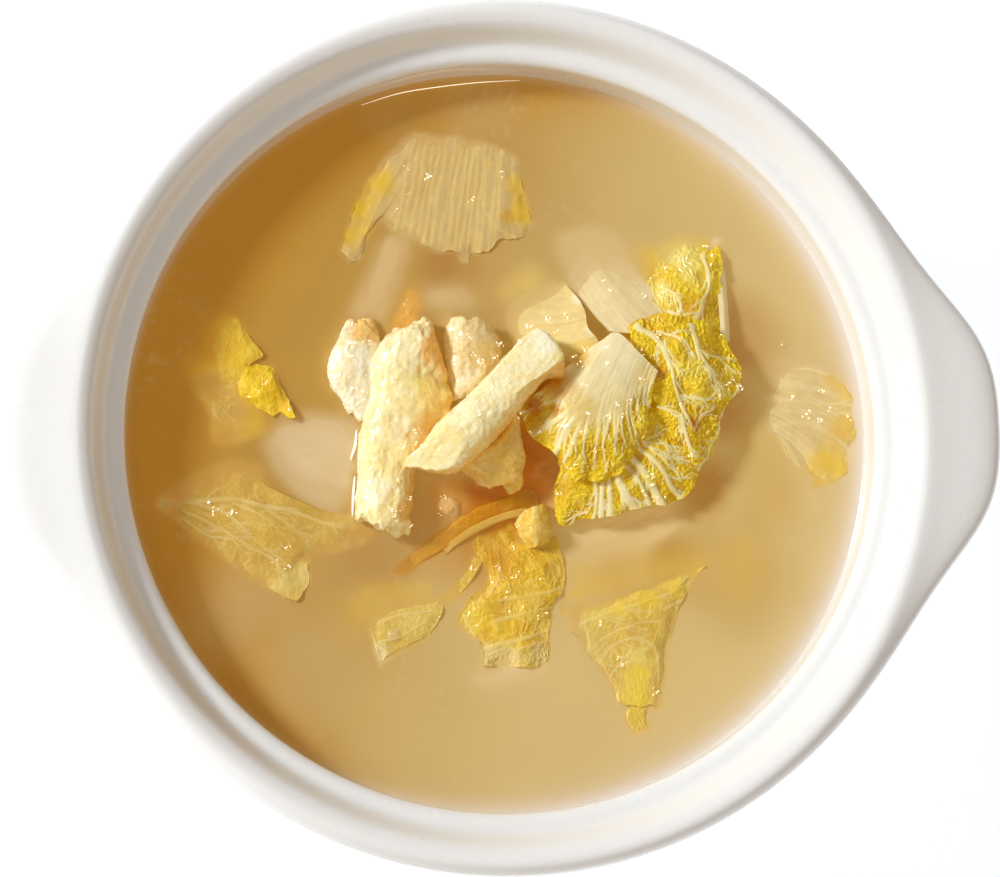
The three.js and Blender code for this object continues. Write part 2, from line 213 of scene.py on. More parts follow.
class Finish:  # a material under construction
    def __init__(self, name):
        self.material = bpy.data.materials.new(name)
        self.material.use_nodes = True
        self.tree = self.material.node_tree
        self.tree.nodes.clear()
        self.place = self.node("TexCoord", out="Object")

    def node(self, kind, settings=None, sockets=None, out=0):
        made = self.tree.nodes.new("ShaderNode" + kind)
        for key, value in (settings or {}).items():
            setattr(made, key, value)
        for key, value in (sockets or {}).items():
            if isinstance(value, Wire):
                self.tree.links.new(value.socket, made.inputs[key])
            else:
                made.inputs[key].default_value = value
        return Wire(self, made.outputs[out]) if made.outputs else None

    def speckle(self, size, detail=2.0, seed=0.0):  # soft noise from 0 to 1, its size in millimetres
        sockets = {"Vector": self.place, "W": seed, "Scale": 1 / (size * unit), "Detail": detail}
        return self.node("TexNoise", {"noise_dimensions": "4D"}, sockets)

    def between(self, low, high, value):
        sockets = {"Value": value, "From Min": low, "From Max": high}
        return self.node("MapRange", {"interpolation_type": "SMOOTHSTEP"}, sockets)

    def blend(self, share, first, second, way="MIX"):
        settings = {"data_type": "RGBA", "blend_type": way}
        return self.node("Mix", settings, {0: share, 6: first, 7: second}, out=2)

    def tint(self):  # the colour that addPiece painted on
        return self.node("Attribute", {"attribute_name": "tint"})

    def bump(self, height, depth):  # depth in millimetres
        return self.node("Bump", None, {"Height": height, "Distance": depth * unit})

    def finished(self, sockets):
        shader = self.node("BsdfPrincipled", None, sockets)
        self.node("OutputMaterial", None, {"Surface": shader})
        return self.material


def four(colour):
    return (*(float(c) for c in colour), 1.0)


# The camera looks down, leaning a little; the light is a soft disc low on the left over a warm fill.
view = {
    "target": (-2.48, -2.45, 94),
    "distance": 900,
    "lean": 9.81,
    "heading": 225.363,
    "roll": -0.54,
    "width": 258.5,
}
light = {
    "distance": 1.7,
    "heading": 157,
    "elevation": 34,
    "size": 0.32,
    "power": 28.9,
    "tint": (0.9, 0.96, 1.0),
    "fillHeading": 262,
    "fillElevation": 50,
    "fillSize": 1.2,
    "fillPower": 5.8,
    "fillTint": (1.0, 0.97, 0.92),
    "sky": 0.31,
    "skyTint": (1.0, 0.87, 0.77),
}
paper = {
    "reach": 14000,
    "light": rgb(168, 168, 167),
    "dark": rgb(162, 161, 160),
    "glow": 0.84,
    "glowTint": (0.94, 0.97, 1.0),
}


def towards(heading, elevation):  # a unit vector from two angles in degrees
    a, e = math.radians(heading), math.radians(elevation)
    return Vector((math.cos(a) * math.cos(e), math.sin(a) * math.cos(e), math.sin(e)))


backward = towards(view["heading"], 90 - view["lean"])
right = (Vector((1, 0, 0)) - backward * backward.x).normalized()
up = backward.cross(right)
roll = math.radians(view["roll"])
right, up = right * math.cos(roll) + up * math.sin(roll), up * math.cos(roll) - right * math.sin(roll)
camera = bpy.data.objects.new("camera", bpy.data.cameras.new("camera"))
stand = Vector(view["target"]) * unit + backward * view["distance"] * unit
camera.matrix_world = Matrix.Translation(stand) @ Matrix((right, up, backward)).transposed().to_4x4()
camera.data.lens = camera.data.sensor_width * view["distance"] / view["width"]
camera.data.clip_start = 0.01
scene.collection.objects.link(camera)
scene.camera = camera


def addLamp(name, heading, size, power, tint):
    lamp = bpy.data.objects.new(name, bpy.data.lights.new(name, "AREA"))
    lamp.data.shape = "DISK"
    lamp.data.size = size
    lamp.data.energy = power
    lamp.data.color = tint
    lamp.location = heading * light["distance"]
    lamp.rotation_euler = heading.to_track_quat("Z", "Y").to_euler()
    scene.collection.objects.link(lamp)
    return lamp


toLight = towards(light["heading"], light["elevation"])
toFill = towards(light["fillHeading"], light["fillElevation"])
addLamp("softbox", toLight, light["size"], light["power"], light["tint"])
reflector = addLamp("reflector", toFill, light["fillSize"], light["fillPower"], light["fillTint"])
reflector.visible_glossy = False  # it only lifts the shadows

world = bpy.data.worlds.new("studio")
world.use_nodes = True
sky = world.node_tree.nodes["Background"]
sky.inputs["Color"].default_value = (*light["skyTint"], 1)
sky.inputs["Strength"].default_value = light["sky"]
scene.world = world
scene.view_settings.view_transform = "Standard"
scene.cycles.use_denoising = True

paperFinish = Finish("floor")
paperShare = paperFinish.speckle(9, 4) * 0.12
paperMaterial = paperFinish.finished({
    "Base Color": paperFinish.blend(paperShare, four(paper["light"]), four(paper["dark"])),
    "Roughness": 0.9,
    "Emission Color": four(paper["glowTint"]),
    "Emission Strength": paper["glow"],
})
corners = np.array([[-1, -1, 0], [1, -1, 0], [1, 1, 0], [-1, 1, 0]]) * paper["reach"]
floor = addPiece("floor", corners, [np.array([[0, 1, 2, 3]])])
floor.data.materials.append(paperMaterial)
print("camera, light and floor set")

# The pot: a turned section with a stepped lip, and two lugs pulled out of the lip.
pot = {
    "across": 216,
    "lugReach": 16.1,
    "lugHalfAngle": 16.8,
    "lugShoulder": 3.6,
    "crowding": 0.28,
    "glaze": (0.9, 0.893, 0.875),
    "glazeShade": (0.985, 0.975, 0.965),
    "pinhole": rgb(196, 180, 160),
    "biscuit": rgb(222, 208, 186),
    "foot": [
        [0, 3.5], [30, 3.5], [52, 3.5], [53.2, 3.3], [54.4, 1], [54.8, 0.25],
        [55.3, 0.02], [60.8, 0.02], [61.5, 0.3], [62, 1.2], [63, 5],
    ],
    "belly": [(63, 5), (90, 7), (105, 32), (107.5, 74)],
    "wall": [(98.6, 81.6), (98.2, 55), (99, 13), (60, 10.5)],
    "floor": [(40, 10.1), (20, 10), (0, 10)],
    "lip": [  # radius, height, share of the lug's reach, lift at the lug
        [107.8, 77.5, 0, 0], [109, 79.6, 0, 0], [110.6, 80.4, 0.2, 1.6], [112.8, 81.2, 0.45, 2.2],
        [114.4, 82.6, 0.8, 2], [115, 84.4, 0.95, 1.6], [115, 86.5, 0.99, 1.3], [115, 88.5, 1, 1],
        [114.9, 90, 0.97, 1.3], [114.6, 91.4, 0.88, 1.1], [114, 92.4, 0.66, 0.7], [113.2, 93.2, 0.36, 0.1],
        [112.4, 93.8, 0.12, -0.1], [111.5, 93.95, 0, 0], [110.6, 93.85, 0, 0], [109.7, 93.5, 0, 0],
        [108.8, 93.05, 0, 0], [107.9, 92.4, 0, 0], [107.1, 91.5, 0, 0], [106.3, 90.3, 0, 0],
        [105.5, 88.9, 0, 0], [104.7, 87.6, 0, 0], [103.9, 86.6, 0, 0], [103, 86, 0, 0],
        [102, 85.7, 0, 0], [101, 85.4, 0, 0], [100, 84.9, 0, 0], [99.2, 84.1, 0, 0], [98.8, 83, 0, 0],
    ],
}


def bend(ends, steps):  # a smooth run from the first of four points to the last
    t = np.linspace(0, 1, steps + 1)[1:, None]
    a, b, c, d = np.array(ends, float)
    return a * (1 - t) ** 3 + 3 * b * t * (1 - t) ** 2 + 3 * c * t**2 * (1 - t) + d * t**3


def wallInside():  # from under the ledge to the middle of the floor
    return np.concatenate([pot["wall"][:1], bend(pot["wall"], 26), pot["floor"]])


def wallRadius(height):
    wall = wallInside()[::-1]
    return float(np.interp(height, wall[:, 1], wall[:, 0]))


def potSection():  # from the middle of the foot round the lip to the middle of the floor
    plain = (pot["foot"], bend(pot["belly"], 20), wallInside()[1:])
    foot, belly, inside = (np.pad(np.array(part, float), ((0, 0), (0, 2))) for part in plain)
    lip = spline(np.array([*belly[-2:], *pot["lip"], inside[0]]), 84)[3:-2]
    lip[:, 2] = np.clip(lip[:, 2], 0, 1)
    most = (rimRadius, potHeight, 1, 9)  # the smooth curve may not pass the pot's own size
    return np.minimum(np.concatenate([foot, belly, lip, inside]), most)


def makePot():
    section = potSection()[1:-1]
    even = np.arange(pot["across"]) * 2 * np.pi / pot["across"]
    angle = (even - pot["crowding"] * np.sin(2 * even))[None, :]  # closer together at the lugs
    fromLug = np.degrees(np.abs(np.arcsin(np.sin(angle))))
    lug = 1 / (1 + (fromLug / pot["lugHalfAngle"]) ** pot["lugShoulder"])
    radius, height, share, lift = (column[:, None] for column in section.T)
    r = radius + pot["lugReach"] * share * lug
    z = height + lift * lug
    points = np.stack([r * np.cos(angle), r * np.sin(angle), z * np.ones_like(r)], axis=-1).reshape(-1, 3)
    grid = np.arange(len(points)).reshape(len(section), -1)
    count = len(points)
    points = np.concatenate([points, [[0, 0, pot["foot"][0][1]], [0, 0, pot["floor"][-1][1]]]])
    ends = []  # the underside and the floor close in a fan each
    for centre, ring, turn in ((count, grid[0], 1), (count + 1, grid[-1], -1)):
        fan = np.stack([np.full(len(ring), centre), ring, np.roll(ring, -1)], axis=1)
        ends.append(fan[:, ::-turn])
    return points, [gridFaces(grid, closed=True)[:, ::-1], *ends]


glaze = Finish("white glaze")
waves = glaze.speckle(26, 1.5, 3)
pinholes = glaze.between(0.74, 0.8, glaze.speckle(1.1, 0, 5))
tone = glaze.blend(waves, four(pot["glaze"]), four(np.array(pot["glaze"]) * pot["glazeShade"]))
tone = glaze.blend(pinholes * 0.1, tone, four(pot["pinhole"]))
height = glaze.node("SeparateXYZ", None, {0: glaze.place}, out=2)
biscuit = 1 - glaze.between(0.4 * unit, 1.0 * unit, height)  # the foot ring is left unglazed
glazeMaterial = glaze.finished({
    "Base Color": glaze.blend(biscuit, tone, four(pot["biscuit"])),
    "Roughness": glaze.between(0, 1, glaze.speckle(18, 3)) * 0.1 + 0.2 + biscuit * 0.6,
    "Normal": glaze.bump(glaze.speckle(7, 1, 8) + glaze.speckle(1.6, 1, 9) * 0.12, 0.1),
    "IOR": 1.5,
    "Coat Weight": 0.6 - 0.6 * biscuit,
    "Coat Roughness": 0.08,
    "Subsurface Weight": 0.12,
    "Subsurface Radius": (1.0, 0.85, 0.7),
    "Subsurface Scale": 2.5 * unit,
})
settle(addPiece("pot", *makePot()), glazeMaterial, "white_glaze", "pot")
print("pot made")

# The broth's colour before anything shows through it, with painted shade: it is a deeper amber where the
# rim's shadow falls.
broth = {
    "columns": 262,
    "left": rgb(205, 163, 74),
    "right": rgb(238, 213, 142),
    "shaded": rgb(213, 162, 58),
    "paler": (-75, 50, 0.45),  # from the left to the right, turned by so much
    "rimHigh": 22,
    "rimWide": 108,
    "rimSoft": (-14, 9),
    "fade": 3.2,
    "clearAbove": 1.0,
    "motes": rgb(244, 222, 176),
    "wallTint": rgb(253, 246, 234),
    "foodClimb": (0.7, 1.0),  # how high, how far off
    "wallClimb": (1.0, 1.3),
    "wallUnder": (64, 54, 44, 34, 24, 16, 12, 10.4),
    "blur": [  # for each band of depth: from, to, how far its colour spreads
        (-0.4, 0.5, 0.35), (0.5, 1.2, 0.7), (1.2, 2.2, 1.4), (2.2, 4, 2.4), (4, 14, 4.5),
    ],
    # the tint is split into a base colour and a glow; the glow is painted light that lifts the broth's
    # shadows
    "base": (0.54, 0.57, 0.70),
    "glow": (0.27, 0.17, 0.02),
    # painted shade in pools beside and under the pork and the heap, painted light that lifts the rim's shadow
    # at the left and the top, and tone from what lies beneath
    "spotsOfToneAndShading": [
        ((-6, -24), 17, rgb(210, 146, 44), 0.75),
        ((9, -4), 12, rgb(204, 124, 0), 1),
        ((5, -14), 10, rgb(222, 138, 0), 0.85),
        ((16, 6), 12, rgb(210, 140, 0), 0.9),
        ((-72, -47), 17, rgb(222, 190, 124), 0.6),
        ((-52, -62), 15, rgb(222, 190, 124), 0.45),
        ((-5, 90), 15, rgb(222, 190, 122), 0.5),
        ((-26, 87), 12, rgb(218, 184, 112), 0.4),
        ((-4, -15), 9, rgb(204, 118, 0), 0.9),
        ((4, -18), 8, rgb(208, 124, 0), 0.85),
        ((66, 26), 13, rgb(206, 156, 78), 0.6),
        ((60, 10), 10, rgb(204, 150, 62), 0.7),
        ((55, -14), 9, rgb(206, 150, 52), 0.7),
        ((-14, 47), 9, rgb(192, 142, 66), 0.7),
        ((46, -31), 7, rgb(204, 156, 74), 0.7),
        ((-34, -34), 13, rgb(200, 154, 84), 0.5),
        ((43, -32), 6, rgb(206, 156, 66), 0.5),
        ((62, -34), 20, rgb(222, 184, 98), 0.6),
        ((30, -36), 14, rgb(222, 182, 92), 0.6),
        ((14, 55), 15, rgb(220, 186, 112), 0.5),
    ],
}


def brothShade(place):
    flat = place * (1, 1, 0)
    x, y = place[..., 0], place[..., 1]
    left, right, turned = broth["paler"]
    fromLeft = smooth(left, right, x - turned * y + 10 * noise(flat, 40, 500, 2))
    look = mix(broth["left"], broth["right"], fromLeft)
    # painted shade: the broth turns a deeper amber where the rim, cast towards the lamp, shadows it
    away = Vector(toLight[:2]) / toLight[2] * broth["rimHigh"]
    shaded = smooth(*broth["rimSoft"], np.hypot(x + away[0], y + away[1]) - broth["rimWide"])
    look = mix(look, broth["shaded"], shaded)
    look = paintedToneAndShading(look, flat, broth["spotsOfToneAndShading"], 13, 505)
    return look * (1 + 0.03 * noise(flat, 16, 510, 3))[..., None]


def seen(z):  # how much of a thing shows from that height above the broth
    return np.exp(-np.maximum(broth["clearAbove"] - z, 0) / broth["fade"])


# Food is painted into the broth where it lies just under it, so each piece leaves its points here.
shownFood = []
shownStep = 0.3


def showFood(points, colour):  # as close together as shownStep
    grid = np.concatenate([points, colour], axis=-1)
    gaps = [np.abs(np.diff(grid[..., :2], axis=axis)).max(axis=-1).mean() for axis in (0, 1)]
    shownFood.append(denser(grid, 1 + int(max(gaps) / shownStep)).reshape(-1, 6))


def sweep(curves, count=400):  # a surface through three cross curves: root, middle and tip
    dense = [spline(curve, count) for curve in curves]
    even = np.linspace(0, 1, count)

    def at(s, t):
        s, t = np.clip(s, 0, 1), np.asarray(t)[..., None]
        rows = [np.stack([np.interp(s, even, line[:, k]) for k in range(3)], axis=-1) for line in dense]
        return rows[0] * (1 - t) * (1 - 2 * t) + rows[1] * 4 * t * (1 - t) + rows[2] * t * (2 * t - 1)

    return at


def veinField(plan, veins):  # height in millimetres and share of colour of the flat-topped veins
    height = np.zeros(plan.shape[:-1])
    share = np.zeros(plan.shape[:-1])
    for path, width in veins:
        for a, b, wa, wb in zip(path[:-1], path[1:], width[:-1], width[1:]):
            reach = 1.5 * max(wa, wb)
            low, high = np.minimum(a, b) - reach, np.maximum(a, b) + reach
            close = np.all((plan > low) & (plan < high), axis=-1)
            if not close.any():
                continue
            p, ab = plan[close] - a, b - a
            u = np.clip(p @ ab / max(ab @ ab, 1e-9), 0, 1)
            w = wa + (wb - wa) * u
            d = np.linalg.norm(p - u[:, None] * ab, axis=-1) / w
            height[close] = np.maximum(height[close], w * smooth(1.4, 0.4, d))
            share[close] = np.maximum(share[close], smooth(1.35, 0.75, d))
    return height, share


def grownRibs(at, spec, draw):  # side by side from the root, each a chain of points and widths
    veins = []
    wide, narrow = spec["ribWidth"]
    for start in (np.arange(spec["ribs"]) + 0.5) / max(spec["ribs"], 1):
        end = start + draw.uniform(-0.4, 0.4) / spec["ribs"]
        t = np.linspace(spec["ribFrom"], draw.uniform(*spec["ribReach"]), 22)
        s = start + (end - start) * t + 0.012 * np.sin(7 * t + draw.uniform(0, 6)) * t
        width = draw.uniform(0.6, 1.3) * np.linspace(wide, narrow, 22)
        veins.append((at(s, t)[:, :2], width))
    return veins


def twigs(path, width, count, reach, draw):  # side veins that bend back towards the tip
    grown = []
    for _ in range(count):
        n = draw.integers(len(path) // 7, len(path) - 2)
        ahead = path[n + 1] - path[n]
        side = draw.choice((-1, 1)) * draw.uniform(0.4, 0.9)
        turn = math.atan2(ahead[1], ahead[0]) + side * np.linspace(1, 0.55, 9)
        step = draw.uniform(*reach) / 8
        line = path[n] + np.cumsum(np.stack([np.cos(turn), np.sin(turn)], axis=1), axis=0) * step
        grown.append((line, np.maximum(width[n] * np.linspace(0.6, 0.2, 9), 0.11)))
    return grown


# A leaf is spanned by its root, its middle and its tip, each a row of points across it. A pair such as
# crumple is how far apart and how high, a vein its width at both ends and its points, and a patch where,
# how far, which colour and how much of it.
leafBase = {
    "size": (121, 121), "thick": 1.0, "seed": 1, "afloat": False, "sink": 0.0, "crumple": (6, 0.6),
    "ruffle": (5, 0.5), "ragged": (0, 0.8, 0.8), "ribs": 0, "ribWidth": (0.5, 0.25), "ribFrom": 0.0,
    "ribReach": (0.85, 1.0), "ribHeight": 0.4,
    "veins": [], "combs": [], "twigs": 3, "twigReach": (2.5, 6), "finerTwigs": 0, "veinShare": 0.85,
    "stalk": (-0.5, -0.3), "stalkSide": 0.0, "pucker": (1.5, 0.6), "fibre": 0.05, "patches": [],
    "pale": rgb(246, 226, 184), "paleShade": rgb(228, 198, 140), "vein": rgb(251, 238, 198),
    "yellow": rgb(246, 212, 36), "yellowShade": rgb(214, 158, 4), "crest": rgb(250, 230, 108),
}


def leafVeins(at, spec, draw):  # the ribs, the veins given, and two orders of twigs
    veins = grownRibs(at, spec, draw)
    for first, last, *path in spec["veins"]:
        veins.append((spline(path, 28), np.linspace(first, last, 28)))
    for count, wide, *ends in spec["combs"]:
        a, b, c, d = np.array(ends, float)
        for share in (np.arange(count) + draw.uniform(0.2, 0.8, count)) / count:
            start, end = a + (b - a) * share, c + (d - c) * share
            sway = 0.25 * np.sin(np.linspace(0, 9, 20) + draw.uniform(0, 6))[:, None]
            line = start + (end - start) * np.linspace(0, 1, 20)[:, None] + sway
            veins.append((line, draw.uniform(0.6, 1.4) * wide * np.ones(20)))
    side, finer = [], []
    for path, width in veins:
        side += twigs(path, width, spec["twigs"], spec["twigReach"], draw)
    for path, width in side:
        finer += twigs(path, width, spec["finerTwigs"], (1.2, 3), draw)
    return veins + side + finer


def leafColour(spec, plan, blade, share, crests, fibre, hollow):  # painted shade: deeper in the hollows, lighter on the crests
    seed = spec["seed"] * 100
    shade = 0.55 + 0.5 * hollow + 0.3 * noise(plan, 5, seed + 71, 2)
    yellow = mix(spec["yellowShade"], spec["yellow"], np.clip(shade, 0, 1))
    yellow = mix(yellow, spec["crest"], 0.55 * smooth(0.35, 0.85, crests) * (blade * (1 - share)))
    pale = mix(spec["paleShade"], spec["pale"], np.clip(0.65 + 0.4 * fibre, 0, 1))
    colour = mix(mix(pale, yellow, blade), spec["vein"], share * spec["veinShare"] * (0.85 + 0.15 * fibre))
    return paintedToneAndShading(colour, plan, spec["patches"], 4, seed + 81)


def leafShape(given):
    spec = {**leafBase, **given}
    at = sweep((spec["root"], spec["middle"], spec["tip"]))
    m, n = spec["size"]
    s0, t0 = np.meshgrid(np.linspace(0, 1, m), np.linspace(0, 1, n), indexing="ij")
    seed = spec["seed"] * 100

    # the outline, bitten at its rims
    flat = at(s0, t0) * (1, 1, 0)
    along = np.linalg.norm(np.diff(flat, axis=1), axis=-1).sum(axis=1).mean()
    across = np.linalg.norm(np.diff(flat, axis=0), axis=-1).sum(axis=0).mean()
    bite = np.clip(0.5 + 0.9 * noise(flat, 3, seed, 3), 0, 1.3)
    rootRag, tipRag, sideRag = (rag * bite for rag in spec["ragged"])
    t = t0 + (rootRag * smooth(0.2, 0, t0) - tipRag * smooth(0.8, 1, t0)) / along
    s = s0 + sideRag * (smooth(0.2, 0, s0) - smooth(0.8, 1, s0)) / across
    base = at(s, t)
    plan = base * (1, 1, 0)

    # folds, stronger in the thin blade than in the stalk
    sides = np.maximum(smooth(0.15, 0, s0), smooth(0.85, 1, s0))
    edge = np.maximum(sides, smooth(0.75, 1, t0))
    low, high = spec["stalk"]
    blade = smooth(low, high, t0 + spec["stalkSide"] * (s0 - 0.5) + 0.08 * noise(plan, 5, seed + 3, 2))
    size, amount = spec["crumple"]
    length, lift = spec["ruffle"]
    fold = noise(plan, size, seed + 11, 2) * amount * (0.15 + 0.85 * blade)
    fold += lift * edge * noise(plan, length, seed + 21, 2)
    upward = gridNormals(base)
    upward *= np.sign(upward[..., 2:] + 1e-9)
    lifted = base + upward * fold[..., None]
    drift = np.stack([noise(plan, size, seed + k, 2) for k in (31, 37)], axis=-1)
    lifted[..., :2] += drift * (amount * 0.8 * blade * (1 - smooth(0.85, 1, np.abs(2 * s0 - 1))))[..., None]

    # veins, and the puckers between them
    veins = leafVeins(at, spec, np.random.default_rng(seed + 5))
    shaky = base[..., :2] + 0.15 * np.stack([noise(plan, 4, seed + k, 2) for k in (43, 45)], axis=-1)
    ridge, share = veinField(shaky, veins)
    ridge *= 0.2 + 0.8 * blade  # they rise out of the stalk
    share *= 0.4 + 0.6 * blade
    size, puff = spec["pucker"]
    crests = curls(base, size, seed + 51)
    stream = np.stack([s0 * across / 0.7, t0 * along / 14, 0 * s0], axis=-1)
    fibre = noise(stream, 1, seed + 61, 2)
    relief = spec["ribHeight"] * ridge + blade * (1 - share) * puff * (crests - 0.4)
    relief += (1 - blade) * (spec["fibre"] * fibre + 0.08 * noise(plan, 3, seed + 65, 2))

    # how deep each point lies in a hollow or fold, for the painted shade
    hollow = (relief - blurred(relief, 6)) / (puff + 0.1) + (fold - blurred(fold, 9)) / (amount + 0.2)
    colour = leafColour(spec, plan, blade, share, crests, fibre, hollow)

    normals = gridNormals(lifted)
    normals *= np.sign(normals[..., 2:] + 1e-9)
    points = lifted + normals * relief[..., None]
    if spec["afloat"]:  # its rim dips under
        rim = np.maximum.reduce([sides, smooth(0.8, 1, t0), smooth(0.2, 0, t0)])
        points[..., 2] -= spec["sink"] * rim * (1 + 0.6 * noise(plan, 3, seed + 91, 2))
    return points, colour, spec


def leafMesh(points, tint, spec):  # the upper side fine, the underside and the rim coarse
    k = 4  # fine steps for each coarse one
    m, n = points.shape[:2]
    under = points[::k, ::k] - (0, 0, spec["thick"])
    if not spec["afloat"]:  # it stands in the broth, so its underside is flat and lies below the surface
        middle = under.mean(axis=(0, 1))
        under = middle + (under - middle) * (0.9, 0.9, 0)
        under[..., 2] = -1.5
    grid = np.arange(m * n).reshape(m, n)
    low = m * n + np.arange(under.shape[0] * under.shape[1]).reshape(under.shape[:2])
    facing = 1 if gridNormals(points)[..., 2].mean() > 0 else -1
    rims = []
    sides = [(rows[:, 0], rows[-1, :], rows[::-1, -1], rows[0, ::-1]) for rows in (grid, low)]
    for fine, coarse in zip(*sides):
        for j in range(len(fine) - 1):
            a, b = coarse[j // k], coarse[j // k + 1]
            rims.append([fine[j + 1], fine[j], a if j % k < k // 2 else b])
            if j % k == k // 2:
                rims.append([fine[j], a, b])
    turn = slice(None, None, facing)
    everything = np.concatenate([points.reshape(-1, 3), under.reshape(-1, 3)])
    everything[:, 2] += brothLevel
    tints = np.concatenate([tint.reshape(-1, 4), tint[::k, ::k].reshape(-1, 4)])
    faces = [gridFaces(grid)[:, turn], gridFaces(low)[:, ::-1][:, turn], np.array(rims)[:, turn]]
    return everything, faces, tints


def join(parts):  # several meshes as one
    points, faces, tints, start = [], [], [], 0
    for p, blocks, tint in parts:
        points.append(p)
        faces += [block + start for block in blocks]
        tints.append(tint)
        start += len(p)
    return np.concatenate(points), faces, np.concatenate(tints)


def filmed(points, colour):  # the colour under its film of broth
    look = mix(brothShade(points), colour, seen(points[..., 2]))
    return np.concatenate([look, np.ones(look.shape[:-1])[..., None]], axis=-1)


def makeLeaf(name, material, slotName, sheets, node=True):
    parts = []
    for sheet in sheets:
        points, colour, spec = leafShape(sheet)
        showFood(points, colour)
        parts.append(leafMesh(points, filmed(points, colour), spec))
    settle(addPiece(name, *join(parts)), material, slotName, *([name] if node else []))


def foodFinish(name, look):  # what was painted on, mottled, soft inside, wet in places, and glowing in its own colour as painted light
    made = Finish(name)
    size, detail, share = look["mottle"]
    low, high, wetSize, most = look["wet"]
    grain, grainDetail, depth = look["grain"]
    tone = made.blend(made.speckle(size, detail, 2) * share, made.tint(), four(look["light"]), "SOFT_LIGHT")
    return made.finished({
        "Base Color": made.blend(1.0, tone, four(look["base"]), "MULTIPLY"),
        "Emission Color": made.blend(1.0, made.tint(), four(look["glow"]), "MULTIPLY"),
        "Emission Strength": 1.0,
        "Roughness": made.speckle(*look["rough"], 4) * 0.2 + 0.5,
        "Normal": made.bump(made.speckle(grain, grainDetail, 6), depth),
        "Coat Weight": made.between(low, high, made.speckle(wetSize, 2, 8)) * most,
        "Coat Roughness": look["film"],
        "Coat IOR": 1.7,
        "Subsurface Weight": look["soft"],
        "Subsurface Radius": look["inside"],
        "Subsurface Scale": look["softReach"] * unit,
        "IOR": look["ior"],
    })


leafMaterial = foodFinish("cabbage leaf", {
    "mottle": (1.0, 3, 0.25), "light": rgb(255, 244, 190), "base": (0.82, 0.85, 0.85),
    "glow": (0.12, 0.1, 0.01), "rough": (2.2, 2), "grain": (0.7, 2, 0.09), "wet": (0.4, 0.65, 3.0, 0.6),
    "film": 0.05, "soft": 0.3, "inside": (1.0, 0.7, 0.2), "softReach": 0.8, "ior": 1.35,
})
stalkMaterial = foodFinish("cabbage stalk", {
    "mottle": (2.4, 3, 0.2), "light": rgb(250, 236, 205), "base": (0.83, 0.85, 0.88),
    "glow": (0.12, 0.1, 0.03), "rough": (3, 2), "grain": (1.0, 2, 0.05), "wet": (0.42, 0.62, 3.4, 1.0),
    "film": 0.05, "soft": 0.4, "inside": (1.0, 0.8, 0.45), "softReach": 1.5, "ior": 1.35,
})

# The heap: the fan with its cut stalk, the frilled leaf behind it and the ribbed one below.
makeLeaf("leaf_fan", leafMaterial, "cabbage_leaf", [{
    "seed": 1, "size": (205, 153), "twigs": 1, "twigReach": (2, 4), "ribs": 17, "ribWidth": (0.5, 0.22),
    "ribFrom": 0.3, "ribReach": (0.75, 1.0), "ribHeight": 0.32, "stalk": (0.3, 0.66), "stalkSide": 0.35,
    "pucker": (1.5, 0.75), "crumple": (6, 0.6), "ruffle": (4, 1.0), "ragged": (0, 1.0, 0.4),
    "root": [[26, 24.5, 9], [30.5, 26.8, 11.3], [36, 21.5, 12], [41.2, 16.3, 11.6]],
    "middle": [
        [14.5, 16, 8.4], [16.5, 10.5, 10.6], [19.5, 4.5, 12], [24.5, 3, 12.4], [30, 4, 12.6], [35, 8, 12.4],
        [39.8, 12.6, 12],
    ],
    "tip": [
        [4.5, 6.4, 7], [6.5, 0.5, 7], [10, -2.5, 7.2], [15, -7.4, 7.5], [18, -10.8, 7.5], [25.6, -12.8, 8],
        [31, -10, 9], [36, -4, 10], [38.3, 2, 11], [40, 9, 11.6],
    ],
    "veins": [
        (0.4, 0.3, [27, 17.5], [17.9, 10.7], [11.2, 8.1], [3.9, 5.8]),
        (0.3, 0.2, [24, 20.5], [16.5, 14.5], [10, 11], [6, 9.5]),
        (0.3, 0.2, [22, 16], [14.5, 11.8], [8, 7.5]),
        (1.0, 0.8, [30.5, 15.5], [20.6, 7.8], [6.2, -0.8]),
        (0.8, 0.55, [29.5, 11.5], [26.1, 8.7], [18.5, 3.7], [12.9, -5.8]),
        (0.7, 0.45, [29.8, 10.5], [27.1, 8.1], [22.2, 6], [18, -2.8], [15.5, -7.3]),
        (0.6, 0.3, [31.5, 12], [29.2, 7.8], [26.8, 1.1], [25.6, -3.7]),
        (0.6, 0.3, [32, 12], [30.8, 8.6], [29.8, 1.9], [28.9, -2.9]),
    ],
    # the deep amber patches are painted shade in the gaps between the ribs
    "patches": [
        ((31.5, 21.5), 9, rgb(250, 232, 196), 0.8),
        ((37.5, 15.5), 4.5, rgb(240, 208, 146), 0.7),
        ((14, 13.5), 5.5, rgb(206, 138, 10), 0.95),
        ((21, 20.5), 3.4, rgb(222, 170, 60), 0.85),
        ((8.5, 8.8), 3.5, rgb(186, 106, 2), 0.9),
        ((13.5, 6.5), 2.6, rgb(204, 130, 8), 0.8),
        ((8.5, 4.4), 2.6, rgb(204, 132, 10), 0.7),
        ((8, 1.5), 3.4, rgb(206, 148, 14), 0.6),
        ((20.5, 6.5), 5.5, rgb(222, 180, 88), 0.6),
        ((29, 8), 4, rgb(236, 204, 130), 0.4),
    ],
}])
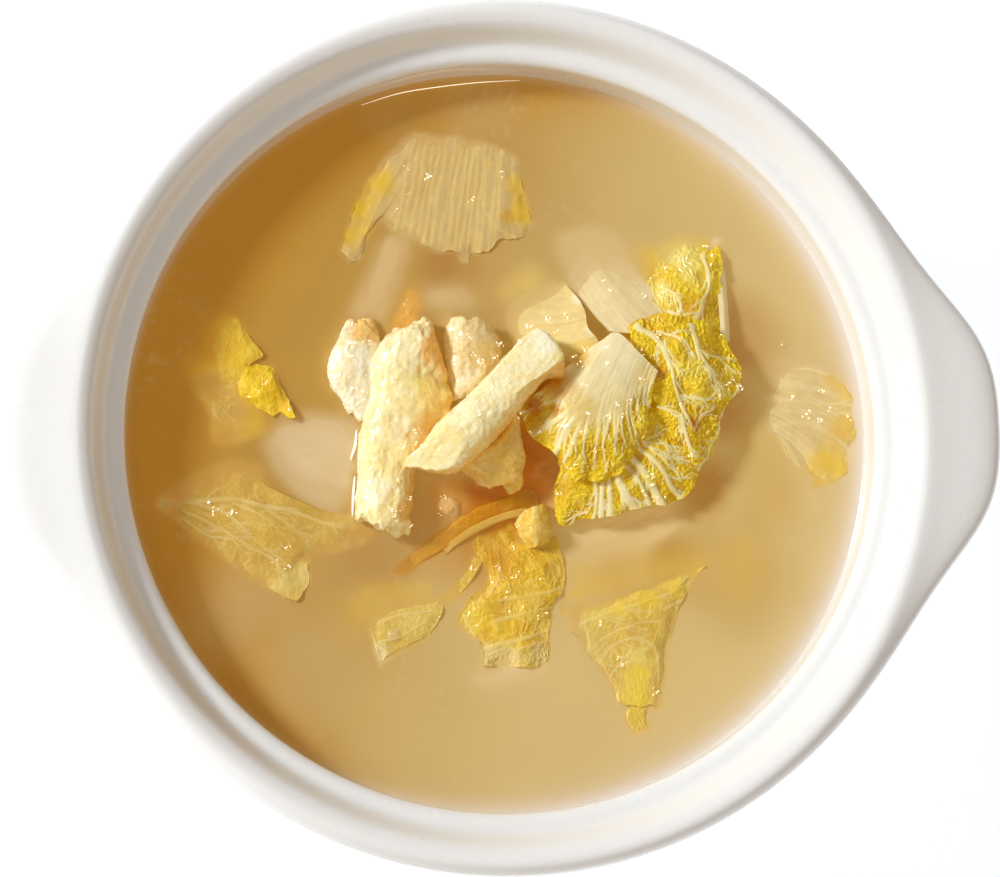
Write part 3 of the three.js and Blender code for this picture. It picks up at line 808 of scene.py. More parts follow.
makeLeaf("leaf_frill", leafMaterial, "cabbage_leaf", [{
    "seed": 2, "size": (169, 169), "twigs": 5, "twigReach": (2, 6), "finerTwigs": 1, "pucker": (1.6, 0.85),
    "crumple": (6, 1.1), "ruffle": (4.5, 1.1), "ragged": (0.4, 1.2, 1.2),
    "root": [[34, 29, 7.6], [39, 31, 8.4], [46, 32, 8.8], [54, 31, 7.5], [60.5, 26.5, 5.5]],
    "middle": [[38.6, 12, 8.5], [44, 11, 10.2], [49.5, 12, 10.6], [56, 14, 9], [65.5, 16.2, 5.5]],
    "tip": [
        [44.5, -1.5, 8.5], [49, -4.5, 7.2], [52.5, -10, 5.8], [55, -6.5, 5.2], [57.8, -1.5, 5.5],
        [58.6, 4.5, 6],
        [61, 9.5, 6], [64, 12, 5.5],
    ],
    "veins": [
        (0.85, 0.4, [36.3, 28.5], [41.3, 23.9], [44.6, 16.6], [46.8, 9.6], [48.3, 4.7], [50.3, 0.7]),
        (0.4, 0.3, [50.5, 0.8], [53, 4.3], [56.9, 6.7]),
        (0.5, 0.3, [47.1, 4.1], [48.3, -0.2], [51.1, -5.9]),
        (0.3, 0.2, [40.2, 7.6], [42.3, 6.8], [46, 5.7], [47.3, 3.8]),
        (0.85, 0.35, [51.1, 29.3], [51.5, 23.9], [52.9, 19.3], [56.6, 15]),
        (0.35, 0.25, [53.5, 21.2], [58.9, 19.3], [62.8, 15.8]),
        (0.35, 0.25, [52.9, 17.7], [57.3, 13.1], [59.1, 10.4]),
        (0.4, 0.25, [47.2, 9.7], [53.1, 8.6], [56.5, 11.2], [55.4, 13.1]),
        (0.35, 0.2, [42.8, 24], [44, 19.9], [48, 15.9]),
        (0.35, 0.2, [41.5, 26.7], [48.2, 24], [50.8, 19.9]),
        (
            0.25, 0.25, [64.2, 13.5], [58.7, 4.9], [57.7, 0.3], [55.5, -3.2], [54, -6.4], [52.3, -9.3],
            [50.2, -14.7],
        ),
    ],
    # the two deep amber spots are painted shade in the frill's gaps
    "patches": [
        ((50.5, 2.5), 2.6, rgb(196, 110, 2), 0.85),
        ((49.5, 17), 5, rgb(250, 226, 90), 0.5),
        ((41.5, 15.5), 2.4, rgb(200, 128, 6), 0.7),
    ],
}])
makeLeaf("leaf_under", leafMaterial, "cabbage_leaf", [{
    "seed": 3, "size": (193, 113), "twigs": 3, "twigReach": (2, 4), "finerTwigs": 1, "pucker": (1.4, 0.65),
    "crumple": (5, 0.6), "ruffle": (4, 0.4), "ragged": (0, 0.2, 0.8),
    "root": [[17, -1, 5], [29, 4, 7], [41, 8, 7.6], [50, 7, 7]],
    "middle": [
        [13.5, -12, 4.5], [20, -13, 6.2], [28, -12, 7], [35.5, -9.5, 7.4], [43.5, -6.5, 7.4], [52, -3, 5.5],
    ],
    "tip": [
        [14, -21.5, 2.4], [16.5, -23.6, 3], [22.3, -22, 4], [28.8, -21, 5], [35.8, -19.5, 5.4],
        [43.4, -18.2, 5],
        [47.5, -16.8, 4.6], [50.4, -14.5, 4.5], [53.5, -8.5, 4.5],
    ],
    "veins": [
        (0.3, 0.3, [36.7, -1.8], [42.2, -6.6], [47.2, -11.5]),
        (0.45, 0.6, [35.8, -3.4], [41.1, -8.2], [44.2, -12.6], [47.3, -16.1]),
        (0.8, 1.3, [33.9, -6], [37.5, -10.9], [42.7, -18.9]),
        (0.5, 0.65, [33, -8.7], [35.3, -11.9], [39.1, -19.8]),
        (0.7, 1.15, [30.4, -9.6], [31.4, -14.2], [35, -20]),
        (0.5, 0.75, [28.3, -10.1], [28.4, -15.8], [28.5, -21.3]),
        (0.5, 0.75, [26.4, -10.7], [26.5, -15.7], [26.1, -21.5]),
        (0.4, 0.55, [24.2, -11.2], [25.2, -16], [23.9, -22.3]),
        (0.4, 0.3, [22.1, -20.2], [19.7, -21], [16.7, -22.3]),
        (0.22, 0.2, [37, -2], [42.9, -2.9], [50.4, -4]),
        (0.22, 0.2, [37.2, -2.8], [43.6, -5.3], [49.8, -7.3]),
        (0.22, 0.2, [38.3, -1.5], [42.4, 0.9], [46.8, 1.4]),
        (0.2, 0.2, [41, -1.3], [43.6, -4], [45.4, -9.4]),
        (0.2, 0.2, [39.6, -5.3], [44.4, -6.1], [48.7, -5.9]),
        (0.2, 0.2, [40.8, -8.2], [44.2, -11], [47.4, -12.1]),
    ],
    # the deep amber spots are painted shade between the ribs
    "patches": [
        ((39, -11), 2.6, rgb(250, 222, 84), 0.7), ((34.5, -10), 2, rgb(196, 130, 6), 0.6),
        ((17.5, -13), 3.6, rgb(206, 152, 14), 0.7), ((20, -18), 3, rgb(222, 178, 60), 0.5),
    ],
}])
print("heap of leaves made")
makeLeaf("stem_striped", stalkMaterial, "cabbage_rib", [{
    "seed": 4, "size": (101, 85), "ribs": 11, "ribWidth": (0.4, 0.6), "ribHeight": 0.1, "twigs": 0,
    "pucker": (3, 0.1), "crumple": (9, 0.3), "ruffle": (5, 0.1), "ragged": (0, 0.25, 0.2), "fibre": 0.02,
    "stalk": (1.4, 1.8), "pale": rgb(242, 214, 144), "paleShade": rgb(230, 196, 122),
    "vein": rgb(248, 228, 172), "veinShare": 0.7,
    "root": [
        [12.5, 42.5, -1.8], [5.4, 39.5, -1.8], [2.6, 34.4, -1.4], [3.6, 29.3, -1], [6, 24, -0.2], [8, 17, 2],
        [7, 11, 4],
    ],
    "middle": [
        [15.5, 42.5, -1.2], [15, 37.5, 0.2], [14.5, 31, 2.8], [15.5, 25.5, 3.8], [16.5, 19.5, 4.8],
        [16, 13, 5.5],
    ],
    "tip": [
        [18.6, 42, -0.4], [22.7, 35.8, 3], [23.9, 29, 6], [26.4, 25.2, 6.8], [26, 21, 7.5], [24, 16, 8.5],
    ],
    "patches": [
        ((21.8, 21.5), 5, rgb(238, 200, 84), 0.8),
        ((15.5, 17.5), 5, rgb(216, 156, 30), 0.9),
        ((10, 14), 5, rgb(206, 138, 14), 0.95),
        ((22.5, 37.5), 2.5, rgb(255, 244, 216), 0.7),
        ((24.5, 28.5), 2, rgb(255, 244, 216), 0.6),
    ],
}])
makeLeaf("stem_pale", stalkMaterial, "cabbage_rib", [{
    "seed": 5, "size": (85, 85), "ribs": 9, "ribWidth": (0.4, 0.6), "ribHeight": 0.1, "twigs": 0,
    "fibre": 0.02, "pucker": (3, 0.1), "crumple": (9, 0.4), "ruffle": (5, 0.1), "ragged": (0, 0.3, 0.2),
    "stalk": (1.4, 1.8), "pale": rgb(242, 220, 170), "paleShade": rgb(230, 200, 142),
    "vein": rgb(250, 234, 196), "veinShare": 0.4,
    "root": [[16.5, 54.5, -1.6], [24, 57, -1.2], [32.5, 56, -1.8]],
    "middle": [[20, 42, -0.9], [29.5, 44, 0.3], [39.5, 43.5, -0.6]],
    "tip": [[29.5, 28, 5], [39, 27, 7], [51, 31, 5.4]],
}])
makeLeaf("leaf_upper", leafMaterial, "cabbage_leaf", [
    {
        "seed": 6, "size": (129, 129), "twigs": 5, "twigReach": (2, 6), "pucker": (1.8, 0.6),
        "crumple": (6, 1.0), "ruffle": (5, 0.6), "ragged": (1, 0.5, 0.8),
        "root": [[37, 51, -1.6], [46, 54.5, -1.2], [54, 55.5, -0.8], [61, 54, -0.6]],
        "middle": [[39.5, 41, -0.4], [47, 41, 2.2], [53.5, 39, 4.2], [60.8, 39, 2]],
        "tip": [[43, 30.5, 5], [48.5, 28, 6.4], [54, 25.5, 6.4], [60.4, 25, 3]],
        "veins": [
            (0.5, 0.6, [56.1, 48.7], [56.7, 40.5], [54.9, 35.1], [51.2, 29.7]),
            (0.45, 0.4, [43.7, 38.8], [47, 38.5], [49.1, 35.3], [47.9, 32.3], [45.7, 33.4]),
        ],
        "patches": [
            ((44, 38), 5.5, rgb(244, 216, 130), 0.8),
            ((49, 50), 8, rgb(238, 214, 134), 0.7),
            ((52.5, 35), 4, rgb(206, 150, 8), 0.4),
            ((52.5, 43.5), 5, rgb(240, 212, 116), 0.6),
        ],
    },
    {
        "seed": 7, "size": (33, 121), "ribs": 1, "ribWidth": (0.8, 0.8), "ribHeight": 0.3, "twigs": 0,
        "stalk": (1.5, 2), "crumple": (8, 0.2), "ruffle": (5, 0), "ragged": (0, 0, 0),
        "root": [[58.4, 53.5, -0.6], [60, 54, -0.5], [61.4, 53.5, -0.9]],
        "middle": [[59.4, 40, 2], [60.8, 39.9, 2.2], [62.2, 39.8, 1.2]],
        "tip": [[59.6, 25.6, 4], [60.9, 25.2, 4], [62.2, 25.4, 3]],
    },
])
print("leaves behind the heap made")

# Leaves that float away from the heap, mostly under a film of broth.
floating = {
    "afloat": True, "sink": 0.5, "crumple": (7, 0.5), "ruffle": (5, 0.3), "pucker": (1.7, 0.2),
    "ribHeight": 0.2, "ribWidth": (0.35, 0.2), "veinShare": 0.4, "twigs": 4, "twigReach": (3, 8),
    "pale": rgb(232, 202, 138), "paleShade": rgb(214, 178, 108), "vein": rgb(244, 224, 172),
    "yellow": rgb(238, 198, 64), "yellowShade": rgb(216, 168, 44), "crest": rgb(242, 216, 124),
}
makeLeaf("leaf_rib_top", stalkMaterial, "cabbage_rib", [{
    **floating, "seed": 8, "size": (161, 121),
    "combs": [(15, 0.42, [-21, 82], [4, 78], [-27.5, 54], [1, 50])], "twigs": 0, "stalk": (1.6, 2),
    "ragged": (0.3, 1.3, 0.8), "crumple": (9, 0.3), "veinShare": 1.4, "ribHeight": 0.35, "fibre": 0.03,
    "pale": rgb(221, 190, 132), "paleShade": rgb(206, 167, 102), "vein": rgb(238, 208, 126),
    "root": [[-21.5, 83, 0.1], [-14, 82.3, 0.1], [-3.3, 80.7, 0.1], [6.5, 76.4, 0.1]],
    "middle": [
        [-34.5, 68.5, 0.5], [-26, 68, 0.4], [-18, 66.5, 0.5], [-9, 66, 0.6], [0, 66.5, 0.6], [8.5, 67.5, 0.5],
    ],
    "tip": [
        [-41.9, 49, 0.5], [-36.5, 47.5, 0.5], [-34.5, 53, 0.4], [-31.5, 58, 0.1], [-27.5, 56, 0.3],
        [-24.5, 54.4, 0.5],
        [-20, 52.3, 0.8], [-14.8, 50.5, 0.8], [-10, 49.6, 0.8], [-9.3, 46.5, 0.6], [-7.3, 46.4, 0.6],
        [-6.4, 49.4, 0.8],
        [-2.7, 49.3, 0.9], [1.5, 53, 0.9], [7.4, 54, 0.8], [10.4, 57.8, 0.7],
    ],
    "veins": [
        (0.35, 0.3, [-1.5, 69], [-2.5, 62], [1.5, 56.5], [6.5, 53.8]),
        (0.3, 0.3, [2, 70], [1, 64], [3, 60], [7, 57.5], [9.5, 57]),
        (0.3, 0.3, [-38.5, 56.5], [-35.5, 56], [-32.2, 52.7], [-29.6, 48.4]),
    ],
    "patches": [
        ((-31, 69), 5, rgb(232, 190, 40), 0.85), ((-36.5, 62.5), 5.5, rgb(230, 184, 8), 0.95),
        ((-39.5, 54), 4.5, rgb(230, 186, 24), 0.9), ((-34, 57), 3, rgb(230, 184, 50), 0.6),
        ((7, 68), 4, rgb(228, 186, 40), 0.9), ((8, 61.5), 4.6, rgb(232, 188, 34), 0.9),
        ((3.5, 60), 2.4, rgb(214, 156, 34), 0.7), ((1, 80), 7, rgb(222, 190, 132), 0.6),
    ],
}])
makeLeaf("leaf_left", leafMaterial, "cabbage_leaf", [
    {
        **floating, "seed": 9, "size": (121, 81), "twigs": 4, "ragged": (0.6, 0.7, 0.5),
        "pale": rgb(220, 176, 100), "paleShade": rgb(200, 150, 74), "stalk": (-0.4, 0.1),
        "root": [
            [-76, 34.2, -1.3], [-80, 27, -1.7], [-82.5, 19, -1.2], [-80.5, 12.6, -0.2], [-78, 10.5, 0.1],
            [-76.4, 5.9, 0.2], [-76.4, 1, 0.1], [-74, -1.3, -0.3],
        ],
        "middle": [
            [-72, 34.3, -0.6], [-71.5, 28, 0.4], [-72, 20, 0.3], [-71, 12, 0], [-69.5, 6, -0.3],
            [-69, -0.4, -0.6],
        ],
        "tip": [
            [-68.3, 32.6, 0.3], [-65.2, 27, 1.2], [-62.4, 23, 1.4], [-65.5, 20, 1], [-64, 12, -0.2],
            [-60, 4.6, -0.8], [-63, 1.5, -1.3],
        ],
        "veins": [
            (0.35, 0.25, [-79.5, 13], [-73, 14.5], [-66, 14.5]),
            (0.3, 0.25, [-78.5, 12], [-73, 9], [-69, 3], [-68, -0.5]),
            (0.25, 0.2, [-76, 9], [-72.5, 4], [-72, 0]),
        ],
        "patches": [
            ((-70, 25.5), 6, rgb(228, 182, 40), 0.9), ((-75.5, 26), 6, rgb(216, 158, 42), 0.8),
            ((-71.5, 32.5), 4, rgb(226, 178, 62), 0.7),
            ((-72, 8), 7, rgb(216, 172, 98), 0.9), ((-76, 15), 5, rgb(212, 166, 90), 0.8),
            ((-72.5, 2), 4.5, rgb(214, 166, 84), 0.8),
        ],
    },
    {
        **floating, "seed": 10, "size": (97, 81), "crumple": (4.5, 0.8), "pucker": (1.7, 0.25),
        "ragged": (0.5, 0.6, 0.5), "yellow": rgb(248, 208, 44), "yellowShade": rgb(222, 164, 22),
        "crest": rgb(248, 222, 110), "veinShare": 0.3,
        "root": [[-69, 21.2, 0.9], [-69.6, 15, 1], [-67.5, 11, 0.9]],
        "middle": [[-63.5, 20.8, 1.5], [-63, 15, 1.9], [-64, 8.8, 1.2]],
        "tip": [[-59.4, 19.6, 1.3], [-57, 13.6, 1.6], [-53.7, 6.2, 1.3], [-57, 7.6, 1.1], [-60, 6.6, 1]],
    },
])
makeLeaf("leaf_lower_left", leafMaterial, "cabbage_leaf", [{
    **floating, "seed": 11, "size": (137, 129), "twigs": 6, "finerTwigs": 1, "ragged": (0.3, 1.2, 1),
    "yellow": rgb(217, 176, 90), "yellowShade": rgb(198, 150, 62), "crest": rgb(228, 196, 124),
    "root": [[-84, -9.5, -0.8], [-90.5, -15.5, 0.2], [-86.5, -19.5, 0.3]],
    "middle": [[-70, -4.5, -0.8], [-66, -15, 0.6], [-66, -25, 0.5], [-70.5, -34, 0.2]],
    "tip": [
        [-62.5, -7.5, -0.8], [-61, -14, 0.3], [-56, -16.8, 0.5], [-47, -19, 0.3], [-36, -21, -0.2],
        [-34.5, -27, -0.2],
        [-44.4, -29.8, 0.3], [-50, -31.6, 0.6], [-51.5, -38, 0.9], [-55.2, -41.8, 0.8], [-61.5, -38.5, 0.4],
    ],
    "veins": [
        (
            0.8, 0.35, [-89, -16], [-79.8, -15.3], [-69.3, -15.2], [-62.7, -16.8], [-53.5, -19.6],
            [-44.3, -22.4], [-39, -23],
        ),
        (0.4, 0.3, [-85, -16.8], [-75.9, -22], [-66.8, -27.4], [-60.3, -31.4], [-56.4, -36.8]),
        (0.3, 0.25, [-83.8, -19.5], [-78.6, -23.8], [-70.7, -26]),
        (0.35, 0.25, [-79.8, -15.8], [-71.9, -19.4], [-64.7, -26.1], [-57.7, -31.5]),
        (0.35, 0.25, [-70.6, -16.2], [-63.5, -19.5], [-57.5, -24.9]),
        (0.3, 0.2, [-62.7, -17], [-57, -22], [-50, -25.5]),
    ],
    "patches": [
        ((-52.5, -35.5), 4, rgb(240, 212, 140), 0.8), ((-57, -38), 3.4, rgb(236, 206, 130), 0.7),
        ((-84, -13), 6, rgb(216, 170, 96), 0.7), ((-72, -9), 7, rgb(214, 168, 84), 0.6),
        ((-62, -24), 6, rgb(228, 182, 70), 0.5),
    ],
}])
makeLeaf("leaf_right", stalkMaterial, "cabbage_rib", [
    {
        **floating, "seed": 12, "size": (145, 117), "stalk": (0.5, 1.1), "stalkSide": 0.3, "twigs": 3,
        "ragged": (0.2, 0.9, 0.6), "pale": rgb(232, 204, 148), "paleShade": rgb(216, 182, 118),
        "vein": rgb(242, 222, 176), "veinShare": 0.75,
        "root": [[75.5, 21, -0.5], [75.7, 15, 0.3], [73.7, 10, 0.4], [71.8, 2.5, 0.5]],
        "middle": [[84, 21, -0.4], [86.5, 14, 0.5], [87, 7, 0.7], [86, 0, 0.7], [82, -7, 0.4]],
        "tip": [
            [90, 18, -0.3], [95.6, 13.9, 0.1], [98, 8.5, 0.2], [97.8, 3, 0.2], [95.2, -5.1, 0.4],
            [93.6, -10.5, 0.4],
            [89.4, -13.2, 0.3], [83.5, -14, 0],
        ],
        "veins": [
            (0.9, 0.6, [75, 14], [81.9, 13.1], [88.7, 11.9]),
            (0.5, 0.4, [74.1, 10.7], [81.7, 9.3], [96.8, 8.3]),
            (0.6, 0.4, [73.4, 7.2], [81.6, 6.6], [98.1, 5.6]),
            (0.8, 0.5, [73.9, 3.1], [81.5, 3.6], [89.7, 0.2], [95.8, -5.5]),
            (0.6, 0.3, [73, 2.5], [79, -2], [84, -8], [88, -12]),
            (0.4, 0.3, [76, 18], [84, 18.5], [89, 16.5]),
        ],
        "patches": [
            ((92.6, 14.8), 5, rgb(228, 184, 76), 0.8), ((92.7, 1.7), 5, rgb(224, 176, 72), 0.7),
            ((88.2, -7), 5.5, rgb(236, 192, 56), 0.9), ((84, -9), 4, rgb(228, 180, 66), 0.7),
        ],
    },
    {
        **floating, "seed": 13, "size": (33, 97), "ribs": 1, "ribWidth": (0.8, 0.8), "stalk": (1.5, 2),
        "twigs": 0, "ragged": (0, 0, 0), "ruffle": (5, 0.1),
        "root": [[72.5, 3, 0], [76.5, 1, 0.1]],
        "middle": [[77, -5.5, -0.2], [81, -6.5, 0.1]],
        "tip": [[82.5, -20.5, -0.8], [85.8, -20.5, -0.5]],
    },
])
makeLeaf("leaf_bottom", leafMaterial, "cabbage_leaf", [
    {
        **floating, "seed": 14, "size": (137, 121), "twigs": 4, "ragged": (0.4, 0.8, 0.6),
        "yellow": rgb(228, 188, 92), "yellowShade": rgb(210, 164, 66),
        "root": [[14.5, -44, 0.3], [24, -44, 0.1], [34, -41.5, 0.2], [44, -38, 0.5], [54.5, -34.3, 0.7]],
        "middle": [[20.5, -55, 0.4], [28, -54, 0.5], [34.5, -52.5, 0.9], [40.5, -51, 0.8], [46, -48, 0.3]],
        "tip": [[29.8, -66.8, 0.1], [31, -71, 0.5], [35, -71.5, 0.9], [38.5, -71.5, 0.9], [41.8, -71.6, 0.3]],
        "veins": [
            (0.5, 0.35, [20.3, -49.1], [28.4, -46.3], [39.2, -43.6], [47.4, -40.5], [53.5, -36.6]),
            (0.35, 0.3, [43, -46], [48.5, -43], [53.5, -41]),
            (0.4, 0.3, [25.3, -59.8], [28.7, -55.4], [34.9, -53.1], [40.2, -56.9], [40.8, -64.9]),
            (0.3, 0.25, [22, -57], [28, -52], [35, -49.5], [42, -49]),
            (0.3, 0.25, [28, -63], [33, -57.5], [37.5, -56]),
            (0.25, 0.2, [26, -60], [31, -60.5], [34.5, -58.5]),
        ],
        "patches": [
            ((24, -47), 4, rgb(238, 206, 104), 0.7), ((31, -45), 4, rgb(240, 202, 70), 0.85),
            ((38.5, -42.5), 4, rgb(240, 200, 66), 0.9),
            ((46, -39.5), 4, rgb(240, 202, 74), 0.9), ((52, -36.5), 3.5, rgb(240, 204, 84), 0.85),
            ((35, -58.5), 4, rgb(246, 216, 120), 0.85), ((35, -63), 4, rgb(242, 206, 70), 0.95),
            ((34.5, -69), 4.4, rgb(242, 206, 70), 0.95),
            ((19.5, -50.5), 4, rgb(224, 190, 118), 0.8), ((24, -57.5), 5, rgb(222, 186, 110), 0.7),
            ((40.5, -66), 3, rgb(222, 186, 100), 0.6),
        ],
    },
    {
        **floating, "seed": 15, "size": (33, 33), "twigs": 0, "yellow": rgb(238, 200, 76),
        "ragged": (0, 0.5, 0.5),
        "root": [[33.5, -71, 0.5], [38, -71.5, 0.5]],
        "middle": [[31.5, -74.5, 0.2], [37, -75, 0.1]],
        "tip": [[34.5, -79, 0], [39, -77.5, -0.2]],
    },
])
makeLeaf("leaf_bottom_mid", leafMaterial, "cabbage_leaf", [{
    **floating, "seed": 16, "size": (177, 97), "twigs": 2, "crumple": (5, 0.6), "pucker": (1.6, 0.4),
    "ragged": (0.4, 0.3, 0.15), "yellow": rgb(240, 196, 58), "yellowShade": rgb(212, 154, 28),
    "root": [
        [-6.6, -25.5, 0.3], [-7.2, -29.5, 0.5], [-4, -36.3, 0.4], [-9, -42.8, 0.3], [-11.4, -47.6, 0.4],
        [-9.1, -50.8, 0.6], [-6.3, -54, 0.9], [-6, -60, 0.9],
    ],
    "middle": [
        [3, -27, 0.8], [4, -33, 1.2], [4, -38, 1.3], [2, -44, 1.2], [1.5, -50, 1.2], [2.8, -55, 1.3],
        [3.2, -60.3, 1.1],
    ],
    "tip": [
        [14.5, -26, 1], [16, -33, 1.2], [16, -40.5, 1], [13, -44.5, 0.9], [12.3, -50, 1], [12, -55, 1.1],
        [11.5, -60.3, 0.9],
    ],
    "veins": [
        (0.7, 0.4, [-6.6, -55.6], [4.1, -53.1], [11.7, -50.6]),
        (0.5, 0.35, [-1, -43], [9.8, -41], [15.7, -39.7]),
        (0.4, 0.3, [-2.4, -48.2], [7, -45.7], [12.9, -44.5]),
        (0.4, 0.35, [-10.1, -46.3], [-6.5, -53.5]),
        (0.35, 0.3, [-7, -57.5], [3, -55.5], [11.4, -53.5]),
        (0.3, 0.25, [-1, -29], [-1, -36], [-4, -42]),
        (0.3, 0.25, [13, -32], [14, -39.5]),
    ],
    "patches": [
        ((-1, -31), 5, rgb(214, 146, 26), 0.8), ((2, -58.5), 5, rgb(230, 200, 134), 0.9),
        ((-4, -58), 4.5, rgb(228, 198, 134), 0.9),
        ((9, -58), 5, rgb(228, 198, 130), 0.9), ((-7, -47.5), 4, rgb(240, 204, 70), 0.6),
        ((6, -43), 6, rgb(230, 190, 84), 0.6),
        ((9, -48.5), 5, rgb(230, 190, 80), 0.6),
    ],
}])
makeLeaf("leaf_small", leafMaterial, "cabbage_leaf", [
    {
        **floating, "seed": 17, "size": (81, 89), "twigs": 3, "yellow": rgb(228, 190, 96),
        "yellowShade": rgb(212, 168, 76),
        "root": [[-35, -45, -0.8], [-34.9, -51.6, 0.2], [-32.8, -60, 0.3]],
        "middle": [[-26, -42.5, -0.3], [-26, -48, 0.6], [-27, -56, 0]],
        "tip": [[-15, -41.5, 0.2], [-16, -45, 0.5], [-17.5, -48.5, 0.3], [-20, -53, 0]],
        "veins": [
            (0.6, 0.4, [-34.9, -50.3], [-33.8, -55], [-32.8, -60]),
            (0.3, 0.25, [-33.5, -48], [-27, -46], [-19, -45]),
            (0.3, 0.25, [-33, -53], [-27, -51.5], [-20.5, -48]),
        ],
        "patches": [((-33.5, -56), 3, rgb(244, 224, 176), 0.8), ((-24, -48), 5, rgb(234, 200, 116), 0.6)],
    },
    {
        **floating, "seed": 18, "size": (33, 65), "twigs": 0, "yellow": rgb(226, 186, 84),
        "ragged": (0, 0, 0.4),
        "root": [[-16.5, -41, 0.1], [-16, -44.5, 0.1]],
        "middle": [[-11.5, -37.2, 0.2], [-9.5, -39.7, 0.2]],
        "tip": [[-7.8, -31, 0.2], [-5.2, -32, 0.2]],
    },
])
makeLeaf("leaf_curl", leafMaterial, "cabbage_leaf", [
    {
        # the arch is coloured deep amber as painted shade inside the curl
        **floating, "seed": 19, "size": (49, 113), "twigs": 1, "ruffle": (5, 0.2), "crumple": (7, 0.3),
        "ragged": (0, 0, 0.5), "yellow": rgb(208, 142, 14), "yellowShade": rgb(194, 122, 0),
        "crest": rgb(222, 164, 50), "pucker": (5, 0.1),
        "root": [[-29.2, -34.8, 0.1], [-26.5, -36, 0.1]],
        "middle": [[-11.5, -20.8, 0.4], [-9.5, -23.5, 0.6], [-8, -25.8, 0.6]],
        "tip": [[8, -12.8, 1], [10, -16, 1.4], [9, -20, 1.4]],
    },
    {
        **floating, "seed": 20, "size": (33, 97), "ribs": 1, "stalk": (1.5, 2), "twigs": 0,
        "ragged": (0, 0, 0.2), "ruffle": (5, 0.1), "pale": rgb(218, 170, 80), "paleShade": rgb(206, 148, 50),
        "vein": rgb(228, 186, 104),
        "root": [[-16, -28.4, 0.7], [-15, -30.4, 0.6]],
        "middle": [[-4.8, -21.6, 1.7], [-3.8, -23.6, 1.5]],
        "tip": [[6.5, -18.4, 2.6], [7, -20.4, 2.4]],
    },
    {
        **floating, "seed": 21, "size": (57, 57), "twigs": 1, "crumple": (3.6, 0.7), "pucker": (1.7, 0.25),
        "ruffle": (4, 0.2), "yellow": rgb(244, 208, 110), "yellowShade": rgb(222, 168, 50),
        "crest": rgb(250, 230, 170), "ragged": (0.2, 0.2, 0.2),
        "root": [[4.2, -21, 0.5], [4.6, -25, 0.5], [6.5, -28.7, 0.3]],
        "middle": [[8.5, -18, 4], [9, -23, 7], [10, -29, 3.5]],
        "tip": [[12.5, -17.5, 1.5], [13.8, -22, 2.2], [13, -27.4, 1]],
    },
])
print("floating leaves made")

# A strip runs through its stations, each a place with its half width and its half height. A knob is
# where, how far and how high, and a plane a point and the way that its cut faces.
porkBase = {
    "size": (150, 132), "seed": 40, "squareness": 0.75, "broad": 0.6, "lumps": 0.4, "grain": 0.11,
    "torn": 1.6,
    "planes": [], "knobs": [], "patches": [], "brownSide": (1, -0.2, 0), "brown": 0.6, "specks": 0.5,
    "cream": rgb(254, 240, 194), "gold": rgb(250, 224, 146), "toast": rgb(242, 178, 76),
    "speck": rgb(160, 92, 20),
}


def porkColour(spec, points, normals, threads):  # browner on one side
    seed = spec["seed"]
    facing = normals @ (np.array(spec["brownSide"], float) / np.linalg.norm(spec["brownSide"]))
    toast = smooth(0.1, 0.95, facing + 0.35 * noise(points, 5, seed + 17, 3)) * spec["brown"]
    gold = smooth(-0.4, 0.7, noise(points, 7, seed + 19, 3) + 0.6 * facing)
    colour = mix(spec["cream"], spec["gold"], gold * 0.8)
    colour = mix(colour, spec["toast"], toast)
    colour = mix(colour, spec["gold"] * 0.95, 0.5 * smooth(0.1, -0.5, threads))
    dots = smooth(0.66, 0.8, noise(points, 1.3, seed + 23)) * smooth(0.2, 0.5, noise(points, 8, seed + 29))
    colour = mix(colour, spec["speck"], 0.6 * dots * spec["specks"])
    for place, reach, tint, most in spec["patches"]:
        far = np.linalg.norm(points - np.array(place, float), axis=-1) / reach
        colour = mix(colour, tint, most * smooth(1.2, 0.6, far + 0.3 * noise(points, 2.5, seed + 31, 2)))
    return colour


